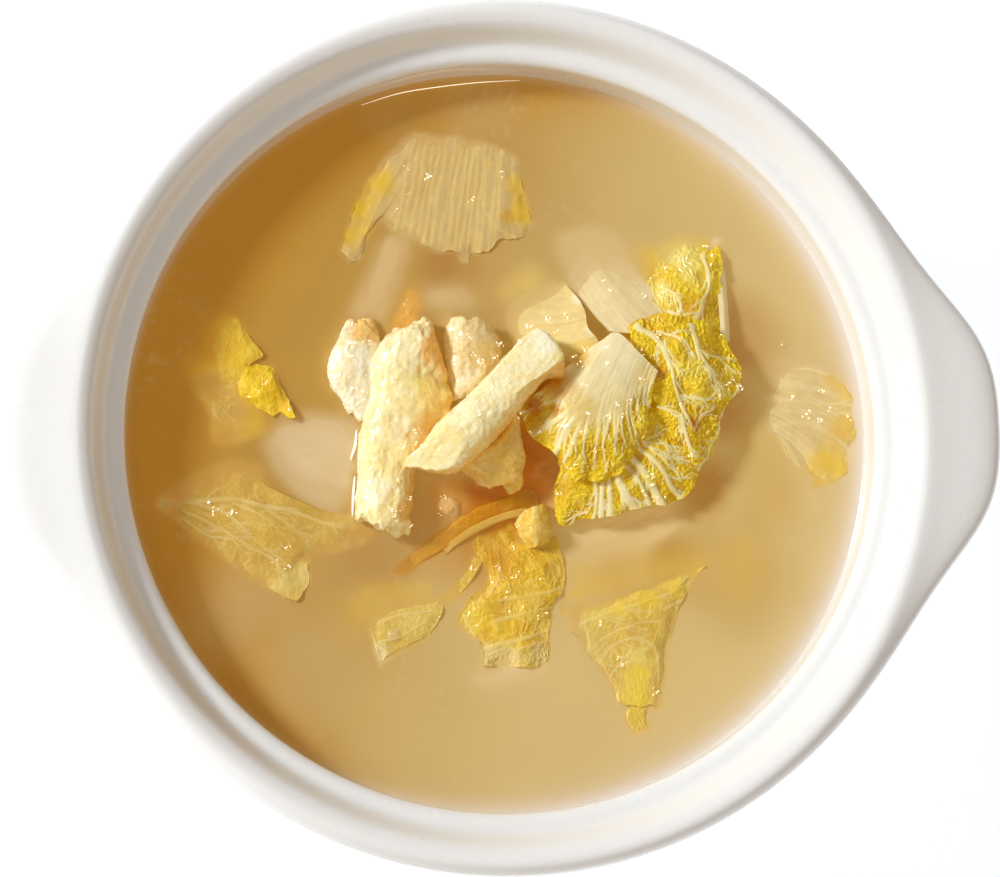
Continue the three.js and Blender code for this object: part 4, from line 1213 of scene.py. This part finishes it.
def porkShape(given):
    spec = {**porkBase, **given}
    n, m = spec["size"]
    seed = spec["seed"]

    # an oval sleeve round the stations
    p = spline(spec["stations"], n)
    along = np.linspace(0, 1, n)
    turn = np.linspace(0, 2 * np.pi, m, endpoint=False)
    turn = turn + 0.3 * np.cos(turn)  # more of them on the upper side
    heading = p[-1, :3] - p[0, :3]
    heading[2] = 0
    heading /= np.linalg.norm(heading)
    sideways = np.array([-heading[1], heading[0], 0])
    cap = np.minimum(1, np.minimum(along, 1 - along) / 0.035) ** 0.5
    outline = np.stack([np.cos(turn), np.sin(turn)])
    outline = np.sign(outline) * np.abs(outline) ** spec["squareness"]
    ring = p[:, None, :3] + sideways * (outline[0] * (p[:, 3] * cap)[:, None])[..., None]
    ring = ring + np.array([0, 0, 1]) * (outline[1] * (p[:, 4] * cap)[:, None])[..., None]
    outward = ring - p[:, None, :3]
    outward /= np.maximum(np.linalg.norm(outward, axis=-1, keepdims=True), 1e-6)

    # lumps, torn ends and the flats where it was cut
    soft = noise(ring, 4.2, seed + 3, 2) + 0.9 * (0.45 - np.abs(noise(ring, 2.4, seed + 5, 2)))
    bumps = spec["broad"] * noise(ring, 9, seed, 2) + spec["lumps"] * soft
    for place, reach, rise in spec["knobs"]:
        bumps += rise * smooth(1, 0, np.linalg.norm(ring - np.array(place, float), axis=-1) / reach)
    ends = (smooth(0.86, 1.0, along) - smooth(0.14, 0.0, along))[:, None]
    flake = noise(ring * (1, 1, 0.5), 2.8, seed + 7, 3)
    ends = ends * np.sign(flake) * np.abs(flake) ** 0.7 * spec["torn"]
    points = ring + outward * bumps[..., None] + heading * ends[..., None]
    for place, normal in spec["planes"]:
        normal = np.array(normal, float) / np.linalg.norm(normal)
        over = (points - np.array(place, float)) @ normal
        points = points - normal * (np.maximum(over, 0) * 0.9)[..., None]
    closed = np.concatenate([points[:, -1:], points, points[:, :1]], axis=1)
    normals = gridNormals(closed)[:, 1:-1]
    if (normals * outward).sum(axis=-1).mean() < 0:
        normals = -normals

    # the grain that runs along it
    threads = np.stack([points @ heading / 4, points @ sideways / 1.2, points[..., 2] / 1.2], axis=-1)
    threads = noise(threads, 1, seed + 13, 3)
    points = points + normals * (spec["grain"] * (threads + noise(points, 0.9, seed + 15, 2)))[..., None]
    return points, porkColour(spec, points, normals, threads)


def porkMesh(points, tint):  # a sleeve closed at both ends
    n, m = points.shape[:2]
    grid = np.arange(n * m).reshape(n, m)
    tips = np.stack([points[0].mean(axis=0), points[-1].mean(axis=0)])
    everything = np.concatenate([points.reshape(-1, 3), tips])
    everything[:, 2] += brothLevel
    tints = np.concatenate([tint.reshape(-1, 4), [tint[0].mean(axis=0), tint[-1].mean(axis=0)]])
    first, last = grid[0], grid[-1]
    ends = [
        np.stack([np.full(m, n * m), np.roll(first, -1), first], axis=1),
        np.stack([np.full(m, n * m + 1), last, np.roll(last, -1)], axis=1),
    ]
    return everything, [gridFaces(grid, closed=True), *ends], tints


def makePork(name, strips, node=True):
    parts = []
    for given in strips:
        points, colour = porkShape(given)
        showFood(points, colour)
        parts.append(porkMesh(points, filmed(points, colour)))
    settle(addPiece(name, *join(parts)), porkMaterial, "batter", *([name] if node else []))


porkMaterial = foodFinish("pork batter", {
    "mottle": (1.0, 3, 0.25), "light": rgb(255, 246, 214), "base": (0.86, 0.87, 0.9),
    "glow": (0.12, 0.1, 0.02), "rough": (1.4, 3), "grain": (1.0, 3, 0.34), "wet": (0.4, 0.55, 2.2, 1.0),
    "film": 0.04, "soft": 0.5, "inside": (1.0, 0.62, 0.25), "softReach": 2.4, "ior": 1.38,
})
makePork("pork_strip_long", [{
    "seed": 140, "size": (160, 140), "brownSide": (1, -0.1, 0.15), "brown": 0.8, "torn": 2.2, "specks": 0.7,
    "stations": [
        [-20.5, 31.5, 3, 2.2, 4], [-22.5, 28, 2, 5.5, 7], [-23.3, 24, 1, 8.2, 8], [-24, 18, 1, 10, 8],
        [-24, 13, 1, 10.8, 8], [-24.2, 9, 1, 10.6, 8], [-26, 5, 1, 10, 8], [-27.8, 1, 1, 9.2, 8],
        [-29.5, -4, 0.8, 8, 8], [-30.2, -9, 0.6, 7.6, 8], [-30.8, -15, 0.4, 7.3, 8],
        [-31.2, -21, 0.2, 7.1, 7.6],
        [-31, -24.4, 0, 6, 6.5],
    ],
    "knobs": [
        ((-14, 11, 6), 4, 1.6), ((-15, 6.5, 5), 3, 1.8), ((-15.5, 17, 6), 3, 1.2), ((-19, 26, 7), 3.4, 1.2),
        ((-33, 20, 5), 6, 0.7),
        ((-20.5, -13.5, 5), 3, 1.8), ((-21.5, -19, 5), 3, 1.4), ((-30, 24.5, 6), 3, 1.2),
        ((-38, -16, 4), 3, 1),
    ],
    "patches": [
        ((-16, 22, 7), 6, rgb(248, 184, 88), 0.8), ((-17, 10, 8), 6.5, rgb(252, 212, 116), 0.7),
        ((-14, 9, 6), 3.4, rgb(242, 176, 70), 0.8),
        ((-20, 3, 8), 4.5, rgb(236, 176, 88), 0.6), ((-25, -19, 6), 4, rgb(242, 186, 96), 0.7),
        ((-21, 14, 9), 2.5, rgb(252, 222, 110), 0.5),
        ((-26, 27, 5), 3, rgb(226, 160, 70), 0.5),
    ],
}])
makePork("pork_strip_cross", [{
    "seed": 152, "size": (150, 132), "brownSide": (0.6, -0.8, -0.1), "brown": 0.75, "torn": 0.8,
    "specks": 0.1,
    "broad": 0.5, "lumps": 0.3, "knobs": [((15.2, 17.4, 9.5), 4.4, 2.6), ((-11, 5.5, 10), 3, 0.7)],
    "planes": [
        ((14.4, 24.6, 10), (0.75, 0.62, 0.35)), ((-6, 8, 16.0), (-0.1, 0.25, 1)),
        ((-18, -3, 14.4), (-0.35, -0.2, 1)),
    ],
    "stations": [
        [14.5, 25, 10, 4.4, 5], [11, 22, 10, 6, 6.6], [6.6, 18.3, 9.8, 6, 7], [-2.7, 8, 9.5, 6.1, 7],
        [-11.3, -0.3, 9.8, 6.6, 6.6], [-16.4, -5.1, 10, 5.8, 5.5], [-20.5, -6.6, 10.3, 4, 4.3],
        [-26.8, -7.6, 10.5, 1, 2.4],
    ],
    "patches": [
        ((11.5, 25, 14), 4.8, rgb(255, 248, 216), 0.95), ((16.4, 17.4, 9.5), 4.6, rgb(246, 186, 96), 0.95),
    ],
}])
makePork("pork_lump_front", [{
    "seed": 163, "size": (110, 110), "brownSide": (0.5, -0.4, 0.7), "brown": 0.4, "torn": 1.6, "specks": 0.3,
    "cream": rgb(250, 220, 138), "gold": rgb(244, 202, 100), "toast": rgb(226, 160, 50),
    "stations": [
        [3.5, 5, 4, 1, 4], [3.2, 1, 4, 2.2, 5.5], [2, -3, 4, 4.2, 6], [-0.5, -6.5, 3.5, 6.5, 6.5],
        [-2.5, -10, 2.5, 8, 6], [-3, -12.2, 1.5, 6.5, 5],
    ],
}])
makePork("pork_lump_back", [{
    "seed": 171, "size": (110, 110), "brownSide": (0.8, -0.4, 0), "brown": 0.35, "specks": 0.2,
    "cream": rgb(246, 226, 180), "gold": rgb(232, 198, 134), "toast": rgb(214, 164, 84),
    "stations": [
        [-7.5, 32, 1, 4.5, 4.5], [-7, 28, 0.5, 7, 6.2], [-6.5, 23, 0, 7.6, 6.6], [-7, 18, 0, 6.8, 6.6],
        [-8.5, 13.5, 0, 4.5, 5.5], [-10, 10, 0, 3, 4],
    ],
    "patches": [((-4, 22, 4), 5, rgb(226, 186, 110), 0.7)],
}])
makePork("pork_lump_left", [{
    "seed": 182, "size": (110, 110), "brownSide": (0.2, 1, 0.2), "brown": 0.4, "specks": 0.2,
    "cream": rgb(255, 246, 220), "gold": rgb(250, 230, 184),
    "stations": [
        [-36.5, 32, -0.5, 3.4, 3], [-37, 27.5, 0, 5.8, 4.4], [-38.2, 21.5, 0, 7.2, 5],
        [-38.4, 15.5, 0, 6.8, 5],
        [-37, 10, -0.3, 5, 4.2], [-36, 5.5, -0.8, 2.8, 3],
    ],
    "patches": [((-35, 29, 2.5), 4.5, rgb(244, 186, 92), 0.8)],
}])
print("pork made")

# What shows only through the broth.
sunkLeaf = {
    "size": (41, 41), "thick": 2, "twigs": 0, "crumple": (9, 0.4), "ruffle": (6, 0.2), "pucker": (4, 0.2),
    "ragged": (0.6, 0.6, 0.6), "stalk": (1.5, 2), "pale": rgb(246, 222, 176), "paleShade": rgb(232, 200, 144),
    "ribHeight": 0.2,
}
sunkYellow = {**sunkLeaf, "stalk": (-1, -0.5), "yellow": rgb(240, 202, 84), "yellowShade": rgb(226, 182, 66)}
makeLeaf("stalk_sunk_left", stalkMaterial, "cabbage_rib", [{
    **sunkLeaf, "seed": 60,
    "root": [[-30.7, 53, -1.6], [-26.7, 55.6, -1.2], [-22.1, 53.5, -1.8]],
    "middle": [[-35.8, 42, -1.8], [-31, 42.5, -1.0], [-25.5, 42, -1.8]],
    "tip": [[-41, 31, -2.4], [-36, 29, -1.8], [-31.8, 28.6, -2.2]],
}], node=False)
makeLeaf("leaf_sunk_left", stalkMaterial, "cabbage_rib", [{
    **sunkLeaf, "seed": 61, "pale": rgb(246, 228, 192), "paleShade": rgb(236, 212, 170),
    "root": [[-63, -1, -2.4], [-60, 3, -1.4], [-57, 6.5, -2.4]],
    "middle": [[-55, -13, -1.8], [-50, -2, -0.5], [-46, 7.5, -1.4]],
    "tip": [[-43, -21, -2.4], [-39, -9, -1.2], [-36, 3, -1.6]],
}], node=False)
makeLeaf("leaf_sunk_mid", stalkMaterial, "cabbage_rib", [{
    **sunkLeaf, "seed": 62, "size": (65, 65), "ribs": 5, "ribWidth": (0.6, 0.8), "vein": rgb(250, 232, 192),
    "ragged": (0.2, 1, 0.6), "pale": rgb(240, 210, 154), "paleShade": rgb(224, 184, 112),
    "root": [[41, -17, -0.3], [44.8, -19, -0.2], [47.5, -23.5, -0.8]],
    "middle": [[29, -19.5, -0.7], [33, -25, -0.3], [38, -29, -1.6]],
    "tip": [[17.5, -24, -1.6], [19, -30, -1.2], [22, -35, -2.2]],
}], node=False)
makeLeaf("leaf_sunk_right", leafMaterial, "cabbage_leaf", [{
    **sunkYellow, "seed": 63, "yellow": rgb(212, 164, 48), "yellowShade": rgb(196, 146, 36),
    "root": [[64.5, 3, -3.6], [70, 4, -3], [76, 3.5, -3]],
    "middle": [[63.5, -12, -3.2], [71, -12, -2.2], [79.5, -11, -2.6]],
    "tip": [[64, -25, -4], [71, -27, -3.4], [79, -24, -3.6]],
}, {
    **sunkYellow, "seed": 64,
    "root": [[54, -32, -4.4], [60, -27, -3.6], [66, -24, -4.4]],
    "middle": [[57, -39, -4], [63, -34.5, -3], [70, -29.5, -4]],
    "tip": [[59, -47, -5], [65.5, -44.5, -4.2], [71.5, -41, -5]],
}], node=False)
makeLeaf("leaf_sunk_bottom", leafMaterial, "cabbage_leaf", [{
    **sunkYellow, "seed": 65,
    "root": [[16.5, -43, -0.6], [29.5, -41, -1], [42, -37, -1.2], [55, -34.5, -0.8]],
    "middle": [[18.5, -38, -1.6], [30, -35.5, -2.2], [42, -33, -2.8], [54, -31, -2.4]],
    "tip": [[19, -33, -1.6], [28, -31, -2.6], [40, -29, -4.4], [52, -27, -4.6]],
}], node=False)
makeLeaf("leaf_sunk_top", leafMaterial, "cabbage_leaf", [{
    **sunkYellow, "seed": 66, "yellow": rgb(246, 220, 130), "yellowShade": rgb(236, 202, 110),
    "root": [[-1, 38, -3], [2.5, 42, -2], [5.5, 47.5, -3]],
    "middle": [[6, 36.5, -1.6], [8, 42, -0.9], [9.6, 47.5, -2]],
    "tip": [[14, 36, -2.4], [14.5, 40, -1.6], [14, 43.5, -2.6]],
}, {
    **sunkYellow, "seed": 70, "yellow": rgb(214, 158, 20), "yellowShade": rgb(196, 134, 6),
    "root": [[-3.7, -20, -0.8], [1, -22, -0.4], [5.7, -21.5, -0.8]],
    "middle": [[-5, -28, -0.6], [0.5, -28, -0.1], [5.5, -28, -0.4]],
    "tip": [[-2.5, -34, -0.8], [0.5, -36, -0.5], [4, -34, -0.6]],
}], node=False)
makeLeaf("leaf_sunk_small", leafMaterial, "cabbage_leaf", [{
    **sunkYellow, "seed": 67,
    "root": [[-42, -41, -3], [-42, -47, -2.4], [-40.5, -54, -3.2]],
    "middle": [[-32, -36.5, -2.4], [-33, -43, -1.6], [-34, -50, -2]],
    "tip": [[-18, -38, -2.2], [-19, -40.5, -1.4], [-20, -44, -1.6]],
}, {
    **sunkLeaf, "seed": 68,
    "root": [[-9.5, -62.5, -2], [-8.5, -64.5, -2.4], [-7, -66.5, -3.4]],
    "middle": [[2.5, -60, -0.9], [2.5, -62.5, -1.6], [2.5, -65.5, -3]],
    "tip": [[10.8, -59.6, -0.8], [10.9, -61.2, -1.4], [10, -63.5, -2.6]],
}, {
    **sunkLeaf, "seed": 69, "pale": rgb(236, 206, 150), "paleShade": rgb(226, 190, 130),
    "root": [[18, 56, -4.6], [29, 57, -4], [40, 54.5, -4.4]],
    "middle": [[22, 51, -3.8], [30, 52, -3.4], [39, 50, -3.6]],
    "tip": [[25, 46, -3.4], [32, 46, -3], [41, 45.5, -3]],
}], node=False)
makePork("pork_sunk", [
    {
        "seed": 190, "size": (44, 40), "cream": rgb(250, 186, 88), "gold": rgb(246, 172, 70),
        "toast": rgb(222, 142, 44),
        "stations": [
            [-22, 41.8, -3.4, 1.5, 2], [-22.4, 38, -2.9, 2.8, 2.6], [-24, 33, -2.6, 3.2, 2.6],
            [-25.5, 28.5, -2.8, 3, 2.6],
        ],
    },
    {
        "seed": 191, "size": (44, 40), "cream": rgb(240, 216, 172), "gold": rgb(226, 196, 140), "torn": 0.4,
        "stations": [
            [-20, 38, -5, 2.5, 3.2], [-15, 38, -4.5, 4, 3.4], [-9, 37.5, -5, 4, 3.4], [-5, 36, -5.5, 2.5, 3],
        ],
    },
    {
        "seed": 192, "size": (44, 40), "cream": rgb(222, 164, 78), "gold": rgb(210, 146, 58), "torn": 0.4,
        "stations": [
            [-17, -8, -5, 4, 3.4], [-15, -12, -5.2, 6, 4.6], [-13, -17, -5.2, 6, 4.6], [-11, -21, -6, 4, 3],
        ],
    },
    {
        "seed": 193, "size": (44, 40), "cream": rgb(222, 176, 110), "gold": rgb(214, 164, 92), "torn": 0.2,
        "broad": 0.2, "lumps": 0.2,
        "stations": [
            [-16.4, -16.2, -1.2, 1.2, 1.3], [-14.5, -17.2, -1, 2.5, 1.8], [-12.3, -18.4, -1, 2.5, 1.8],
            [-10.6, -19.4, -1.4, 1.2, 1.3],
        ],
    },
], node=False)
print("sunk pieces made")

# The broth: cloudy, paler where a thing or the wall lies just under it, with painted light at the wall where
# the lamp falls, drawn up where it meets them.
cellSize = 0.4
half = 101.0
cellCount = int(2 * half / cellSize) + 1
nothing = -99.0  # the height where no food lies


def levelGrid():  # the middle of each cell
    line = np.linspace(-half, half, cellCount)
    x, y = np.meshgrid(line, line, indexing="ij")
    return np.stack([x, y, 0 * x], axis=-1)


def lookFromAbove():  # the height and the colour of the topmost food over each cell
    found = np.concatenate(shownFood)
    found = found[np.argsort(found[:, 2])]
    i, j = (np.clip(np.round((found[:, k] + half) / cellSize).astype(int), 0, cellCount - 1) for k in (0, 1))
    top = np.full((cellCount, cellCount), nothing)
    tint = np.zeros((cellCount, cellCount, 3))
    top[i, j] = found[:, 2]
    tint[i, j] = found[:, 3:]
    return top, tint


def farFromFood(top):  # roughly, for the cells near the food that stands proud
    far = np.where(top > 0.9, 0.0, -nothing)
    for _ in range(9):
        for axis in (0, 1):
            for step in (1, -1):
                far = np.minimum(far, np.roll(far, step, axis) + cellSize)
        for a in (1, -1):
            for b in (1, -1):
                far = np.minimum(far, np.roll(far, (a, b), (0, 1)) + cellSize * 1.414)
    return blurred(far, 1.5)


def brothLook(top, tint):  # the colour of each cell, with what lies below blurred by its depth
    place = levelGrid()
    x, y = place[..., 0], place[..., 1]
    look = brothShade(place)
    motes = smooth(0.80, 0.95, noise(place, 1.4, 520)) * smooth(0, 0.5, noise(place, 22, 530, 2))
    look = mix(look, broth["motes"], 0.16 * motes)
    cover, shown, colour = 0, 0, 0
    for low, high, sigma in broth["blur"]:
        held = ((top > -high) & (top <= -low)).astype(float)
        share = held * seen(top)
        cover = cover + blurred(held, sigma / cellSize)
        shown = shown + blurred(share, sigma / cellSize)
        colour = colour + blurred(tint * share[..., None], sigma / cellSize)
    whole = np.maximum(cover, 1)[..., None]
    look = look * (1 - shown[..., None] / whole) + colour * (1.2, 1.24, 1.2) / whole
    # painted light: the side of the wall that the lamp lights gives a wider, paler fringe
    sunny = smooth(-0.5, 0.7, -(x * toLight[0] + y * toLight[1]) / np.maximum(np.hypot(x, y), 1))
    toWall = np.maximum(wallRadius(brothLevel) - np.hypot(x, y), 0)
    fringe = np.exp(-toWall / (0.6 + 2.6 * sunny))  # the wall shows through, and painted light makes the fringe widest and palest where the lamp falls on it
    return mix(look, broth["wallTint"], fringe * (0.3 + 0.65 * sunny))


def sample(field, x, y):  # what the cells hold at any place
    u, v = (np.clip((c + half) / cellSize, 0, cellCount - 1.001) for c in (x, y))
    i, j = u.astype(int), v.astype(int)
    a, b = u - i, v - j
    if field.ndim == 3:
        a, b = a[..., None], b[..., None]
    near = field[i, j] * (1 - b) + field[i, j + 1] * b
    return near * (1 - a) + (field[i + 1, j] * (1 - b) + field[i + 1, j + 1] * b) * a


def makeBroth():
    count = broth["columns"]
    line = np.linspace(-1, 1, count)
    a, b = np.meshgrid(line, line, indexing="ij")
    wide = np.abs(a) > np.abs(b)
    safeA, safeB = np.where(wide, a, 1), np.where(wide, 1, np.where(b == 0, 1, b))
    r = np.where(wide, a, b)
    r = r * (0.72 + 0.28 * r**2)  # closer together in the middle
    angle = np.where(wide, np.pi / 4 * b / safeA, np.pi / 2 - np.pi / 4 * a / safeB)
    edgeRadius = wallRadius(brothLevel + 1) + 0.4
    x, y = edgeRadius * r * np.cos(angle), edgeRadius * r * np.sin(angle)

    above, below = lookFromAbove()
    look, far = brothLook(above, below), farFromFood(above)
    foodRise, foodReach = broth["foodClimb"]
    wallRise, wallReach = broth["wallClimb"]
    toWall = wallRadius(brothLevel) - np.hypot(x, y)
    z = 0.03 * noise(np.stack([x, y, 0 * x], axis=-1), 14, 540, 2)
    z = z + foodRise * np.exp(-sample(far, x, y) / foodReach)
    z = z + wallRise * np.exp(-np.maximum(toWall, 0) / wallReach) - 0.12
    top = np.stack([x, y, brothLevel + z], axis=-1).reshape(-1, 3)

    grid = np.arange(count * count).reshape(count, count)
    loop = np.concatenate([grid[:-1, 0], grid[-1, :-1], grid[:0:-1, -1], grid[0, :0:-1]])
    rings, blocks = [top], []
    previous, start = loop, len(top)
    edge = top[loop, :2] / np.linalg.norm(top[loop, :2], axis=1, keepdims=True)
    for height in (brothLevel - 2, *broth["wallUnder"]):
        level = np.full((len(edge), 1), height)
        rings.append(np.concatenate([edge * (wallRadius(height) + 0.3), level], axis=1))
        ring = start + np.arange(len(edge))
        blocks.append(gridFaces(np.stack([ring, previous]), closed=True))
        previous, start = ring, start + len(edge)
    rings.append([[0, 0, broth["wallUnder"][-1]]])
    blocks.append(np.stack([previous, np.full(len(previous), start), np.roll(previous, -1)], axis=1))
    points = np.concatenate(rings)
    tint = np.tile([*broth["left"], 1.0], (len(points), 1))
    tint[: len(top), :3] = sample(look, x, y).reshape(-1, 3)
    return points, [gridFaces(grid), *blocks], tint


brothFinish = Finish("broth")
brothMaterial = brothFinish.finished({
    # painted light: part of the tint glows, most in red, standing in for light scattered inside the broth
    "Base Color": brothFinish.blend(1.0, brothFinish.tint(), four(broth["base"]), "MULTIPLY"),
    "Emission Color": brothFinish.blend(1.0, brothFinish.tint(), four(broth["glow"]), "MULTIPLY"),
    "Emission Strength": 1.0,
    "Roughness": brothFinish.speckle(12, 2, 3) * 0.1 + 0.25,
    "Normal": brothFinish.bump(brothFinish.speckle(5, 1, 5), 0.02),
    "Coat Weight": brothFinish.between(0.1, 0.3, brothFinish.speckle(30, 1, 6)) * 0.5,
    "Coat Roughness": 0.04,
    "Subsurface Weight": 0.1,
    "Subsurface Radius": (1.0, 0.6, 0.3),
    "Subsurface Scale": 1.5 * unit,
    "Specular IOR Level": 0.3,
    "IOR": 1.34,
})
settle(addPiece("broth", *makeBroth()), brothMaterial, "broth", "broth")
print("broth made")

# Painted highlights: fine glowing edges where the broth climbs and glowing flecks on the food; and two low
# bubbles.
glints = {
    "edges": [  # how thick, then where
        (0.34, [[-37.9, 2.9, 0.5], [-38.3, -1, 0.5], [-39.6, -5.1, 0.4]]),
        (0.3, [[-38.6, -9.4, 0.5], [-39.1, -14.5, 0.5], [-39.4, -20, 0.4]]),
        (0.2, [
            [98.4, 4.2, 0.5], [99.2, -3.9, 0.5], [98.3, -14.8, 0.5], [95.7, -25.6, 0.5], [91.7, -36.3, 0.5],
        ]),
        (0.2, [
            [-37.6, 25.2, 5.4], [-39.4, 25.4, 5.3], [-40.6, 23.8, 5.1], [-40, 22, 5.3], [-38.4, 21.8, 5.5],
        ]),
        (0.12, [[-35.1, 90.1, 0.5], [-24.5, 93.4, 0.5], [-13.6, 95.2, 0.5], [-2.9, 96.4, 0.5], [8, 97, 0.5]]),
    ],
    "bubbles": [((-29.1, -51.3, 0.2), 1.9), ((77.6, 25.1, -0.2), 1.0)],
    "white": rgb(255, 253, 244),
    "cream": rgb(250, 238, 212),
    "glow": rgb(255, 250, 236),
    "glowShade": rgb(255, 240, 210),
    "strength": 0.7,
    "film": rgb(252, 232, 186),
    "filmShade": rgb(240, 212, 150),
}
flecks = {"places": 135, "cluster": 8, "thick": 0.19, "spread": 0.5, "most": 5, "reach": (0.1, 0.45)}
tubeSides = 6


def tube(path, thick):  # tapered at both ends
    ahead = np.gradient(path, axis=0)
    side = np.cross(ahead, (0, 0, 1))
    side /= np.linalg.norm(side, axis=1, keepdims=True)
    taper = thick * np.sin(np.linspace(0.03, np.pi - 0.03, len(path)))[:, None, None] ** 0.5
    turn = np.linspace(0, 2 * np.pi, tubeSides, endpoint=False)[:, None]
    ring = path[:, None] + (side[:, None] * np.cos(turn) + [0, 0, 1] * np.sin(turn)) * taper
    grid = np.arange(len(path) * tubeSides).reshape(-1, tubeSides)
    return ring.reshape(-1, 3) + (0, 0, brothLevel), [gridFaces(grid, closed=True), grid[:1, ::-1], grid[-1:]]


def dome(centre, radius):  # a low bubble
    around, rows, squash = 32, 10, 0.55
    turn = np.linspace(0, 2 * np.pi, around, endpoint=False)
    turn, rise = np.meshgrid(turn, np.linspace(-0.2, 1.45, rows))
    level = np.cos(rise)
    ball = np.stack([level * np.cos(turn), level * np.sin(turn), squash * np.sin(rise)], axis=-1)
    points = (ball * radius + centre).reshape(-1, 3) + (0, 0, brothLevel)
    grid = np.arange(len(points)).reshape(-1, around)
    return points, [gridFaces(grid, closed=True), grid[-1:]]


def makeFlecks():  # painted highlights that glow on the food that stands proud, two to four at each place, in clusters
    top, _ = lookFromAbove()
    draw = np.random.default_rng(900)
    place = levelGrid()
    likely = (top > 0.3) * smooth(-0.2, 0.6, noise(place, flecks["cluster"], 905))
    for cell in draw.choice(likely.size, flecks["places"], p=likely.ravel() / likely.sum()):
        for _ in range(draw.integers(2, flecks["most"])):
            px, py = place.reshape(-1, 3)[cell, :2] + draw.normal(0, flecks["spread"], 2)
            i, j = (int((c + half) / cellSize) for c in (px, py))
            z = max(top[i - 1 : i + 2, j - 1 : j + 2].max(), 0) + 0.05
            turn, reach = draw.uniform(0, np.pi), draw.uniform(*flecks["reach"])
            step = np.array([np.cos(turn), np.sin(turn), 0]) * reach
            path = np.array([px, py, z]) + step * np.array([[-1], [-0.3], [0.3], [1]])
            yield tube(path, draw.uniform(0.5, 1.1) * flecks["thick"])


def makeGlints(parts):  # they carry no colour of their own
    return join([(points, faces, np.ones((len(points), 4))) for points, faces in parts])


def speckled(finish, seed, first, second):
    return finish.blend(finish.speckle(2, 2, seed), four(first), four(second))


# painted highlights: white, partly see-through and glowing, for the edges and the flecks
glintFinish = Finish("bright edge")
glintMaterial = glintFinish.finished({
    "Base Color": speckled(glintFinish, 3, glints["white"], glints["cream"]),
    "Alpha": glintFinish.speckle(1.5, 2, 5) * 0.3 + 0.65,
    "Emission Color": speckled(glintFinish, 9, glints["glow"], glints["glowShade"]),
    "Emission Strength": glints["strength"],
    "Roughness": 0.15,
    "Coat Weight": 0.5,
})
edges = [tube(spline(path, 40), thick) for thick, path in glints["edges"]]
settle(addPiece("painted_glint_edges", *makeGlints(edges)), glintMaterial, "broth")
settle(addPiece("painted_glint_flecks", *makeGlints(makeFlecks())), glintMaterial, "broth")
bubbleFinish = Finish("bubble")
bubbleShare = bubbleFinish.speckle(1, 2, 3)
bubbleMaterial = bubbleFinish.finished({
    "Base Color": bubbleFinish.blend(bubbleShare, four(glints["film"]), four(glints["filmShade"])),
    "Alpha": bubbleFinish.speckle(1.2, 2, 5) * 0.3 + 0.15,
    "Roughness": 0.1,
    "Coat Weight": 1.0,
    "Coat Roughness": 0.03,
})
bubbles = [dome(centre, radius) for centre, radius in glints["bubbles"]]
settle(addPiece("bubbles", *makeGlints(bubbles)), bubbleMaterial, "broth")
print("bright edges, flecks and bubbles made")
print("triangles:", triangles, "in all", sum(triangles.values()))
